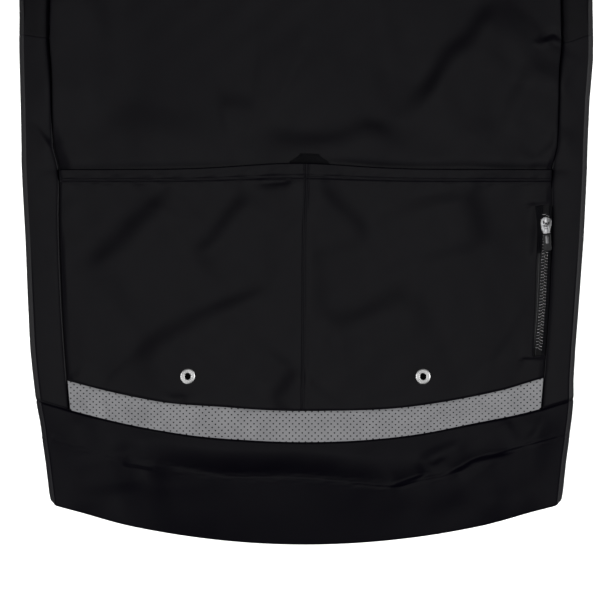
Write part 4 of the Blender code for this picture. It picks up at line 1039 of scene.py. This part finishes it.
slot_width = curve_through((131, 150, 170, 195, 215, 240, 262, 282),
                           (10.4, 10.6, 10.6, 10.8, 11.0, 11.2, 11.4, 13.2))
centre_line = curve_through((108, 160, 210, 250, 290, 318), (-3.2, -2.6, -2.2, -2.0, -1.1, -0.9))


def seam_pair(along):
    """Distance between the two lines of stitches down the middle of the pocket."""
    return lerp(2.6, 3.8, smooth((along - 280) / 35))


def mouth_edge(x, level):
    """How far the turned edge at the pocket's mouth stands up, with what the thread drags."""
    below = POCKET_TOP - level
    drag = 0.14 * ripple(x, level * 2.5, 41, 13) * bell(below - 9.5, 6)
    return 0.5 * (1 - smooth((below - 9.0) / 3.2)) + drag


def slot_end(distance):
    """0 past an end of the slot and 1 beside the zip, with a small round corner between."""
    inside = np.clip(distance / SLOT_CORNER, 0, 1)
    return np.sqrt(np.maximum(0, 1 - (1 - inside)**2))


def node_middle(node):
    low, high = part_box(node)
    return (low + high) / 2 / MM


EYELETS = {side: tuple(node_middle(f"eyelet_{side}"))[:2] for side in ("left", "right")}


def build_pocket():
    level = ruler(BAND_TOP, 0.6, 114, 1.9, 129, 0.4, 134, 2.1, 279, 0.4, 284, 1.9, 299, 0.5, POCKET_TOP)
    level = level[:, None]
    edge = panel_seam(level)
    shares = ruler(0, 0.6, 6, 2.3, 190, 0.8, 206)[None, :] / 206
    right_edge = edge - slot_width(level) * (slot_end(level - SLOT_BOTTOM) * slot_end(SLOT_TOP - level))
    x = np.concatenate([-(shares * edge)[:, :0:-1], shares * right_edge], axis=1)
    along = back_along(level, x)
    points = grid(x, along, pocket_height)
    below_mouth = POCKET_TOP - level
    rows = sum(-0.28 * bell(below_mouth - at, 0.62) for at in STITCH_ROWS)
    rounding = -0.6 * np.maximum(0, 1 - below_mouth / 0.8)**2
    off_centre, apart = x - centre_line(along), seam_pair(along)
    centre = -0.3 * bell(off_centre, 0.6) + 0.15 * bell(off_centre - apart / 2, 1.2)
    centre -= 0.25 * bell(off_centre - apart, 0.6) * smooth((along - 262) / 30)
    centre -= 0.25 * bell(off_centre - apart, 2.6) * smooth((290 - along) / 30)
    first, last, low, _ = edge_distance(points)
    edges = seam_roll(first, 0.45, 0.9) + seam_roll(last, 0.3, 0.6) + seam_roll(low, 0.5, 1.0)
    detail = np.maximum(mouth_edge(x, level) + rows + rounding + centre + edges, -1.0)
    thick = WALL + 0.4 * (1 - smooth((below_mouth - 9) / 3))
    middles = (points[1:, 1:, :2] + points[:-1, :-1, :2]) / 2
    holes = np.zeros(middles.shape[:2], bool)
    for ring in EYELETS.values():
        holes |= np.linalg.norm(middles - ring, axis=2) < EYELET_HOLE
    pocket = cloth("pocket_panel", points, SOFTSHELL, detail, thick, holes=holes)


def perforated_sheet(pitch, row_pitch, hole):
    """Vertices and faces of a flat film whose rows of holes run level, a little larger than the band."""
    corners = [(-1, -1), (0, -1), (1, -1), (1, 0), (1, 1), (0, 1), (-1, 1), (-1, 0)]
    angles = [math.atan2(v * row_pitch, u * pitch) for u, v in corners]
    numbers, vertices, faces, edges = {}, [], [], {}

    def number(x, y, side):
        key = (round(x * 100), round(y * 100), side)
        if key not in numbers:
            numbers[key] = len(vertices)
            vertices.append((x, y, side * FILM_THICK))
        return numbers[key]

    beyond = 3.2
    for row in range(-2, 28):
        y = HEM_SEAM - 1 + (row + 0.5) * row_pitch
        for k in range(-41, 42):
            x = (k + 0.5 * (row % 2)) * pitch
            inside = back_along(HEM_SEAM, x) - beyond <= y <= back_along(BAND_TOP, x) + beyond
            if not inside or abs(x) > side_seam(y) + 5:
                continue
            outer = [(x + u * pitch / 2, y + v * row_pitch / 2) for u, v in corners]
            inner = [(x + hole * math.cos(angle), y + hole * math.sin(angle)) for angle in angles]
            for m in range(8):
                n = (m + 1) % 8
                around = outer[m], outer[n], inner[n], inner[m]
                top, bottom = ([number(*point, side) for point in around] for side in (1, 0))
                faces += [top, bottom[::-1], [top[2], bottom[2], bottom[3], top[3]]]
                edges[(top[0], top[1])] = (bottom[0], bottom[1])
    faces += [[b, a, c, d] for (a, b), (c, d) in edges.items() if (b, a) not in edges]
    return vertices, faces


def build_band():
    """The reflective film, cut from a perforated sheet."""
    sheet = new_mesh("reflective_band_cloth", *perforated_sheet(pitch=5.4, row_pitch=2.55, hole=0.7), FILM,
                     laid=False)
    shares, outline = ruler(-1, 0.02, 1), []
    for level, end, inset in ((HEM_SEAM, 190.0, 0.2), (BAND_TOP, 200.0, -0.2)):
        x = shares * (side_seam(back_along(level, end)) - 0.3)
        outline += zip(x, back_along(level, x) + inset)
        shares = shares[::-1]
    count = len(outline)
    sides = [(k, (k + 1) % count, (k + 1) % count + count, k + count) for k in range(count)]
    cutter = new_mesh("band_cutter", [(x, y, z) for z in (-2, 3) for x, y in outline],
                      [range(count)[::-1], range(count, 2 * count), *sides], FILM, laid=False)
    boolean = sheet.modifiers.new("cut", "BOOLEAN")
    boolean.operation = "INTERSECT"
    boolean.solver = "MANIFOLD"
    boolean.object = cutter
    bpy.context.view_layer.update()
    cut = bpy.data.meshes.new_from_object(sheet.evaluated_get(bpy.context.evaluated_depsgraph_get()))
    sheet.modifiers.clear()
    sheet.data = cut
    bpy.data.objects.remove(cutter)
    at = np.zeros(len(cut.vertices) * 3)
    cut.vertices.foreach_get("co", at)
    at = at.reshape(-1, 3) / MM
    x, along = at[:, 0], at[:, 1]
    relief = creases(x, along, BAND_CREASES) + soft_waves(x, along)
    from_edges = along - back_along(HEM_SEAM, x), back_along(BAND_TOP, x) - along
    edge_fall = seam_roll(from_edges[0], 0.5, 1.2) + seam_roll(from_edges[1], 0.6, 1.2)
    at[:, 2] += resting_height(x, along) + WALL + SEAM_GAP + 0.25 + relief + edge_fall
    at[:, 1] -= LENGTH / 2
    cut.vertices.foreach_set("co", (as_it_lies(at) * MM).ravel())
    cut.update()
    cut.materials.clear()
    cut.materials.append(FILM)
    cut.shade_flat()
    garment(sheet, "reflective_band", slot="reflective_tape")


def build_patch():
    """The dark knit patch behind the middle of the mouth, whose knit is made darker still as painted shade
    for the gaping mouth.
    """
    rise = ruler(-3.2, 0.8, 8.2)[:, None]
    half = np.where(rise < 0.3, 17.0, 17.0 - 8.6 * smooth((rise - 0.3) / 7.4)**0.9)
    x = PATCH_MIDDLE + ruler(-1, 0.06, 1)[None, :] * half
    along = back_along(POCKET_TOP, x) + rise
    height = resting_height(x, along) + PATCH_WALL + SEAM_GAP + creases(x, along, BACK_CREASES)
    points = grid(x, along, height)
    first, last, _, high = edge_distance(points)
    detail = -0.45 * (bell(first, 2.2) + bell(last, 2.2)) - 0.6 * bell(high, 1.8)
    patch = cloth("pocket_patch", points, PATCH_KNIT_PAINTED_SHADE, detail, PATCH_WALL, slot="stretch_knit")


def turned(name, profile, middle, tilt, material, steps=48):
    """A ring turned from a closed profile of (radius, height)."""
    angles = [2 * math.pi * k / steps for k in range(steps)]
    vertices = [(radius * math.cos(angle), radius * math.sin(angle), height)
                for angle in angles for radius, height in profile]
    return new_mesh(name, np.array(vertices) @ np.array(tilt).T + middle,
                    tube_faces(0, steps, len(profile), closed=True), material, sharp=35)


def build_eyelets():
    """Press-in rings: a crowned flange with fine turned ridges, and a barrel through the pocket. Behind
    each hole is a nearly black disc of knit: painted shade, so that the hole looks dark."""
    crown = [(radius, 1.32 + 0.05 * math.sin((radius - 3.1) * 2 * math.pi / 0.62))
             for radius in ruler(3.2, 0.1, 5.2)]
    flange = [(2.65, -1.1), (3.0, -1.1), (3.1, 0.3), (6.05, 0.3), (6.15, 0.5), (6.0, 0.85), (5.6, 1.16)]
    profile = [*flange, *crown[::-1], (2.85, 1.15), (2.68, 0.8)]
    for side, (x, y) in EYELETS.items():
        along, reach = y + LENGTH / 2, 5
        rise_x = float(pocket_height(x + reach, along) - pocket_height(x - reach, along))
        rise_y = float(pocket_height(x, along + reach) - pocket_height(x, along - reach))
        outward = Vector((-rise_x, -rise_y, 2 * reach))
        tilt = Vector((0, 0, 1)).rotation_difference(outward).to_matrix()
        middle = (x, y, float(pocket_height(x, along)) + 0.1)
        ring = turned(f"eyelet_{side}_ring", profile, middle, tilt, RING)
        garment(ring, f"eyelet_{side}", slot="ring_metal")
        # Painted shade: a nearly black disc under each ring, so that its hole looks dark.
        disc = [(0.0, -0.9), (3.0, -0.9), (3.0, -0.6), (0.0, -0.2)]
        painted_shade_disc = turned(f"eyelet_{side}_backing", disc, middle, tilt, EYELET_PAINTED_SHADE_KNIT, steps=24)
        garment(painted_shade_disc, slot="stretch_knit")


# ---- zips ----

UP = np.array((0.0, 0.0, 1.0))


def tooth_ball(sides, rings):
    """A ball of few faces, as unit vertices and faces."""
    last = 1 + (rings - 1) * sides
    polar = np.repeat(math.pi * np.arange(1, rings) / rings, sides)
    angle = np.tile(2 * math.pi * np.arange(sides) / sides, rings - 1)
    around = np.sin(polar) * (np.cos(angle), np.sin(angle))
    vertices = np.concatenate([around, [np.cos(polar)]]).T
    faces = [(0, 1 + m, 1 + (m + 1) % sides) for m in range(sides)] + tube_faces(1, rings - 1, sides)
    faces += [(last, last - sides + (m + 1) % sides, last - sides + m) for m in range(sides)]
    return np.concatenate([[UP], vertices, [-UP]]), faces


def teeth(name, middle, sides, rings):
    """Moulded teeth along the middle of a chain. Each tooth is a bead on the tape's edge and a body that
    slants to the middle."""
    ball, ball_faces = tooth_ball(sides, rings)
    ahead = unit(np.gradient(middle, axis=0))
    run = travelled(middle)
    vertices, faces = [], []
    s, hand = TOOTH_PITCH * 0.3, 1
    while s < run[-1] - TOOTH_PITCH * 0.3:
        centre, front, side = (np.array([np.interp(s, run, part[:, k]) for k in range(3)])
                               for part in (middle, ahead, np.cross(ahead, UP)))
        for outward, forward, (wide, long, high), turn in (
                (2.15, 0.0, (0.62, 0.56, 1.0), 0.0), (0.85, 0.30, (1.25, 0.42, 0.86), hand * -0.42)):
            u, v = np.cos(turn) * side + np.sin(turn) * front, np.cos(turn) * front - np.sin(turn) * side
            first = len(vertices)
            faces.extend(tuple(first + k for k in face) for face in ball_faces)
            vertices.extend(centre + side * (hand * outward) + front * forward
                            + ball @ np.array((u * wide, v * long, UP * high)))
        hand = -hand
        s += TOOTH_PITCH / 2
    return new_mesh(name, vertices, faces, TEETH, sharp=80)


def zip_tape(node, left, right, material, relief):
    """A tape between two lines of points. relief gives its height across, from 0 to 1."""
    shares = np.linspace(0, 1, 13)
    points = lerp(left[:, None], right[:, None], shares[None, :, None]) + UP * TAPE_THICK
    return cloth(node, points, material, relief(shares), TAPE_THICK, slot="zip_tape")


def build_pocket_zip():
    def chain_row(level):
        """x of the side seam and of the middle of the chain."""
        seam = side_seam(back_along(level, side_seam(level)))
        return seam, seam - lerp(6.0, 4.6, (level - SLOT_BOTTOM) / (SLOT_TOP - SLOT_BOTTOM))

    def on_slot(x, level, up=0.0):
        along = back_along(level, x)
        base = 0.7 + 1.2 * bell(level - POCKET_SLIDER_LEVEL, 24)
        return grid(x, along, resting_height(x, along) + base + up)

    levels = ruler(SLOT_BOTTOM + 0.9, 2.5, SLOT_TOP - 0.9)
    seam, chain = chain_row(levels)
    sunk = (2.6 * bell(levels - 272, 28) + 1.6 * bell(levels - 133, 14))[:, None]
    left = zip_tape("pocket_zip_tape_left", on_slot(seam - slot_width(levels) * 0.97 - 1.2, levels),
                    on_slot(chain - 2.5, levels), TAPE,
                    lambda t: 0.3 * bell(t - 0.35, 0.25) - 0.35 * bell(t - 0.62, 0.1) - sunk * (1 - t))
    # The right tape takes the duller copy of the tape's finish all over: painted shade.
    right = zip_tape("pocket_zip_tape_right", on_slot(chain + 2.5, levels), on_slot(seam - 0.5, levels),
                     PAINTED_SHADE_TAPE, lambda t: 0.25 * bell(t - 0.6, 0.3))
    # Painted shade: the left tape's faces above TAPE_SHADE take the duller copy of its finish.
    left.data.materials.append(PAINTED_SHADE_TAPE)
    for face in left.data.polygons:
        face.material_index = int(face.center.y / MM + LENGTH / 2 > TAPE_SHADE)
    levels = ruler(SLOT_BOTTOM + 5, 1.0, SLOT_TOP - 8)
    row = teeth("pocket_zip_teeth_row", on_slot(chain_row(levels)[1], levels, TAPE_THICK / 2), 8, 6)
    garment(row, "pocket_zip_teeth", slot="zip_teeth")
    build_slider("pocket", -1)


def build_main_zip():
    """The front zip, inside the front edges: two tapes, the teeth, the slider and its pull."""
    stations = ruler(front_along(0.0, 0.0) + 1, 5, COLLAR_FRONT_TOP - 3)
    past_hem = smooth((stations - front_along(HEM_STITCH, 0.0)) / 12)
    base = lower_height(0.0, stations) + (lerp(HEM_WALL, WALL, past_hem) + SEAM_GAP)

    def relief(share):
        return 0.25 * bell(share - 0.08, 0.07) + 0.06 * np.sin(share * 30)

    for side, sign in (("right", 1), ("left", -1)):
        edges = [grid(x * sign, stations, base) for x in (TAPE_START, TAPE_REACH)]
        made = zip_tape(f"main_zip_tape_{side}", *edges[::sign], TAPE,
                        relief if sign > 0 else lambda share: relief(1 - share))
    below = stations < MAIN_SLIDER_ALONG + 3
    row = teeth("main_zip_teeth_row", grid(0.0, stations[below], base[below] + TAPE_THICK / 2), 6, 4)
    garment(row, "main_zip_teeth", slot="zip_teeth")
    build_slider("main", 1)


def hinge_frame(zip_name, direction):
    """The slider's frame: X across, Y along the chain, Z outward, at the middle of the chain."""
    joint = next(j for j in frame["joints"] if j["name"] == f"{zip_name}_pull_hinge")
    across = Vector(joint["axis"]).normalized() * direction
    ahead = Vector((0, 0, 1 if zip_name == "pocket" else -1)).cross(across).normalized()
    outward = across.cross(ahead)
    placed = Matrix((across, ahead, outward)).transposed().to_4x4()
    placed.translation = Vector(joint["pos_m"]) / MM - ahead * HINGE_ALONG - outward * HINGE_UP
    return placed


def extruded(outline, low, high, bevel=0.0, axis="Z"):
    """A closed outline extruded from low to high along an axis, with rounded edges, as a mesh."""
    shape = bmesh.new()
    bottom, top = ([shape.verts.new((w, u, v) if axis == "X" else (u, v, w)) for u, v in outline]
                   for w in (low, high))
    shape.faces.new(bottom[::-1])
    shape.faces.new(top)
    for k in range(-len(outline), 0):
        shape.faces.new((bottom[k], bottom[k + 1], top[k + 1], top[k]))
    bmesh.ops.recalc_face_normals(shape, faces=shape.faces)
    if bevel:
        corners = [edge for edge in shape.edges if abs(edge.calc_face_angle(0)) > math.radians(30)]
        bmesh.ops.bevel(shape, geom=corners, offset=bevel, segments=3, profile=0.5, affect="EDGES",
                        clamp_overlap=True)
    mesh = bpy.data.meshes.new("extruded")
    shape.to_mesh(mesh)
    shape.free()
    return mesh


def joined(name, placed, material, *solids):
    """What extruded() makes of each of the solids, placed and joined as one object."""
    shape = bmesh.new()
    for solid in solids:
        piece = extruded(*solid)
        shape.from_mesh(piece)
        bpy.data.meshes.remove(piece)
    bmesh.ops.transform(shape, matrix=placed, verts=shape.verts)
    bmesh.ops.scale(shape, vec=(MM,) * 3, verts=shape.verts)
    mesh = bpy.data.meshes.new(name)
    shape.to_mesh(mesh)
    shape.free()
    mesh.materials.append(material)
    mesh.shade_smooth()
    mesh.set_sharp_from_angle(angle=math.radians(35))
    return add_object(name, mesh)


def arc_points(cx, cy, radius, start, end, steps):
    angles = [math.radians(lerp(start, end, k / steps)) for k in range(steps + 1)]
    return [(cx + radius * math.cos(angle), cy + radius * math.sin(angle)) for angle in angles]


def build_slider(zip_name, direction):
    placed = hinge_frame(zip_name, direction)
    shield = [(1.2, 6.3), (2.2, 5.9), (3.5, 4.9), (4.4, 3.0), (4.4, 1.0), (3.7, -3.0), (3.2, -6.2)]
    shield = [(0.0, 6.6), *shield, *((-x, y) for x, y in reversed(shield))]
    flange = [(4.4, 4.2), (4.4, -0.5), (3.5, -5.2), (2.9, -5.2), (3.7, -0.5), (3.7, 4.2)]
    flanges = [([(hand * x, y) for x, y in flange], low, high, 0.1)
               for hand in (-1, 1) for low, high in ((0.75, 1.35), (-1.35, -0.75))]
    inner, outer, foot = 0.9, 1.6, PLATE_OUTER - 0.3
    bail = [(HINGE_ALONG + outer, foot), *arc_points(HINGE_ALONG, HINGE_UP, outer, 0, 180, 12),
            (HINGE_ALONG - outer, foot), (HINGE_ALONG - inner, foot),
            *arc_points(HINGE_ALONG, HINGE_UP, inner, 180, 0, 12), (HINGE_ALONG + inner, foot)]
    crown = arc_points(0, 4.4, 1.9, 20, 160, 8) + arc_points(0, 2.6, 1.9, 200, 340, 8)
    # Painted shade: flat dark spots of the tab's rubber on the slider's plate, for the shade in the gaps
    # beside the bail.
    painted_shade_spots = [([(hand * x + 0.7 * u, y + half * v) for u, v in arc_points(0, 0, 1, 0, 330, 11)],
             PLATE_OUTER - 0.1, PLATE_OUTER + 0.04)
            for hand in (-1, 1) for x, y, half in ((2.1, 1.6, 1.5), (1.9, -3.3, 0.9))]
    garment(joined(f"{zip_name}_zip_slider_painted_shade", placed, RUBBER, *painted_shade_spots), slot="zip_metal")
    body = joined(
        f"{zip_name}_zip_slider_body", placed, NICKEL,
        (shield, PLATE_INNER, PLATE_OUTER, 0.3), (shield, -PLATE_OUTER, -PLATE_INNER, 0.3), *flanges,
        (arc_points(0, 4.2, 1.3, 0, 330, 11), -1.4, 1.4), (bail, -1.1, 1.1, 0.2, "X"),
        (crown, PLATE_OUTER - 0.2, PLATE_OUTER + 0.5, 0.3))
    garment(body, f"{zip_name}_zip_slider", slot="zip_metal")
    build_pull(zip_name, placed, direction)


def build_pull(zip_name, placed, direction):
    """A metal link round the bail and the moulded tab that it carries."""
    def hung(outline):
        """An outline whose second numbers are distances from the hinge towards the tab."""
        return [(x, HINGE_ALONG + direction * distance) for x, distance in outline]

    def bar(low_x, high_x, start, end, narrower=0.0):
        far_x = math.copysign(abs(high_x) - narrower, high_x)
        return hung([(low_x, start), (high_x, start), (far_x, end), (low_x, end)])

    def rounded(half, start, end, corner):
        right = [(x, end - corner + y) for x, y in arc_points(half - corner, 0, corner, 0, 90, 5)]
        left = [(x, end - corner + y) for x, y in arc_points(corner - half, 0, corner, 90, 180, 5)]
        head = [(-half, start + 1), (0.5 - half, start), (half - 0.5, start), (half, start + 1)]
        return hung([*head[1:], *right, *left, head[0]])

    if zip_name == "pocket":
        hinge = Matrix.Translation((0, HINGE_ALONG, 0))
        placed = placed @ hinge @ Matrix.Rotation(PULL_TURN, 4, "Z") @ hinge.inverted()
    low, high = HINGE_UP - 0.4, HINGE_UP + 0.4
    link = joined(f"{zip_name}_zip_pull_link", placed, NICKEL, (bar(-3.0, 3.0, -0.4, 0.4), low, high, 0.2),
                  *((bar(hand * 1.5, hand * 3.0, 0.2, 7.3, 0.25), low, high, 0.2) for hand in (-1, 1)),
                  (bar(-1.7, 1.7, 2.6, 7.3), low + 0.15, high - 0.1, 0.15))
    inlay = joined(f"{zip_name}_zip_tab_inlay", placed, INLAY,
                   (rounded(1.35, 8.6, 16.0, 1.0), HINGE_UP + 0.5, HINGE_UP + 1.0, 0.2))
    grip = joined(f"{zip_name}_zip_tab_grip", placed, RUBBER,
                  (rounded(3.3, 7.6, 21.8, 1.7), HINGE_UP - 0.8, HINGE_UP + 0.75, 0.35),
                  (rounded(2.5, 9.3, 20.6, 1.2), HINGE_UP - 0.3, HINGE_UP + 0.92, 0.12))
    body = f"{zip_name}_pull"
    garment(link, f"{zip_name}_zip_pull", slot="zip_metal", body=body)
    garment(inlay, slot="zip_metal", body=body)
    garment(grip, f"{zip_name}_zip_tab", slot="pull_rubber", body=body)


# ---- rows of stitches ----

def stitches(name, route, pitch=2.9, length=2.3, radius=0.24, sink=0.12):
    """A row of stitches along a route of points that lie on the cloth, joined as one piece."""
    run = travelled(route)
    shares = np.array((0.0, 0.18, 0.5, 0.82, 1.0))
    swell = np.array((0.35, 0.9, 1.0, 0.9, 0.35))
    depth = np.array((1.6, 0.3, 0.0, 0.3, 1.6)) * radius
    rings = sides = 5
    angles = np.arange(sides) * (2 * math.pi / sides)
    vertices, faces = [], []
    for start in np.arange(pitch * 0.5, run[-1] - length, pitch):
        centre = np.stack([np.interp(start + shares * length, run, route[:, k]) for k in range(3)], axis=1)
        across = np.cross(unit(centre[-1] - centre[0]), UP)
        centre[:, 2] += radius * 0.55 - sink - depth
        section = np.outer(np.cos(angles), across) + np.outer(np.sin(angles) * 0.8, UP)
        first, last = len(vertices), len(vertices) + (rings - 1) * sides
        vertices.extend((centre[:, None] + section * (radius * swell[:, None, None])).reshape(-1, 3))
        faces += tube_faces(first, rings, sides)
        faces += [range(first, first + sides), range(last, last + sides)[::-1]]
    garment(new_mesh(name, vertices, faces, THREAD, sharp=80))


def build_stitches():
    x = ruler(-204, 1.5, 204)
    for number, below in enumerate(STITCH_ROWS):
        level = POCKET_TOP - below
        along = back_along(level, x)
        row = grid(x, along, pocket_height(x, along) + mouth_edge(x, level) - 0.42)
        keep = abs(x - centre_line(along) - 2) > 3.5
        for side, beside in (("left", x < 0), ("right", x > 0)):
            stitches(f"mouth_stitches_{side}_{number}", row[keep & beside])
    along = ruler(112, 1.5, 313)
    for number, start in enumerate((112, 270)):
        run = along[along >= start]
        line_x = centre_line(run) + seam_pair(run) * number
        z = pocket_height(line_x, run + 3) - 0.35
        run = np.minimum(run, back_along(POCKET_TOP, 0.0) - 2)
        stitches(f"middle_stitches_{number}", grid(line_x, run, z))


# ---- floor, lights and camera ----

def build_stage():
    material = new_material("floor_white", (0.95, 0.95, 0.95), 0.9, specular=0.1)
    nodes = Nodes(material)
    nodes.colour(nodes.noise(400), (0.3, (0.94, 0.94, 0.94)), (0.7, (0.96, 0.96, 0.96)))
    half = 12000
    corners = [(-half, -half, FLOOR), (half, -half, FLOOR), (half, half, FLOOR), (-half, half, FLOOR)]
    new_mesh("floor", corners, [(0, 1, 2, 3)], material, laid=False)
    target = Vector((0, -0.2, 0))
    for name, place, size, power in (
            ("overhead", (0.0, -0.2, 3.0), (1.3, 1.3), 82), ("low", (-1.7, -3.2, 1.9), (1.8, 1.8), 110),
            ("left", (-2.9, -0.2, 0.8), (2.0, 0.8), 150), ("right", (2.9, -0.2, 0.8), (2.0, 0.8), 200)):
        light = bpy.data.lights.new(name, "AREA")
        light.shape = "RECTANGLE"
        light.size, light.size_y = size
        light.energy = power
        made = add_object(name, light)
        made.location = place
        made.rotation_euler = (target - Vector(place)).to_track_quat("-Z", "Y").to_euler()
    world = bpy.data.worlds.new("studio")
    world.use_nodes = True
    background = world.node_tree.nodes["Background"]
    background.inputs["Color"].default_value = (1, 1, 1, 1)
    background.inputs["Strength"].default_value = 0.17
    bpy.context.scene.world = world
    bpy.context.scene.view_settings.view_transform = "Standard"
    camera = bpy.data.cameras.new("camera")
    middle, height, cloth_height, picture_side = (-0.0046, -0.1959), 3.0, 0.005, 0.504
    camera.sensor_width = 36
    camera.lens = camera.sensor_width * (height - cloth_height) / picture_side
    made = add_object("camera", camera)
    made.location = (*middle, height)
    bpy.context.scene.camera = made


for build in (build_stage, build_fronts, build_hem, build_sides, build_underarms, build_back, build_band,
              build_pocket, build_patch, build_eyelets, build_collar, build_sleeves, build_pocket_zip,
              build_main_zip, build_stitches):
    build()

bpy.context.view_layer.update()
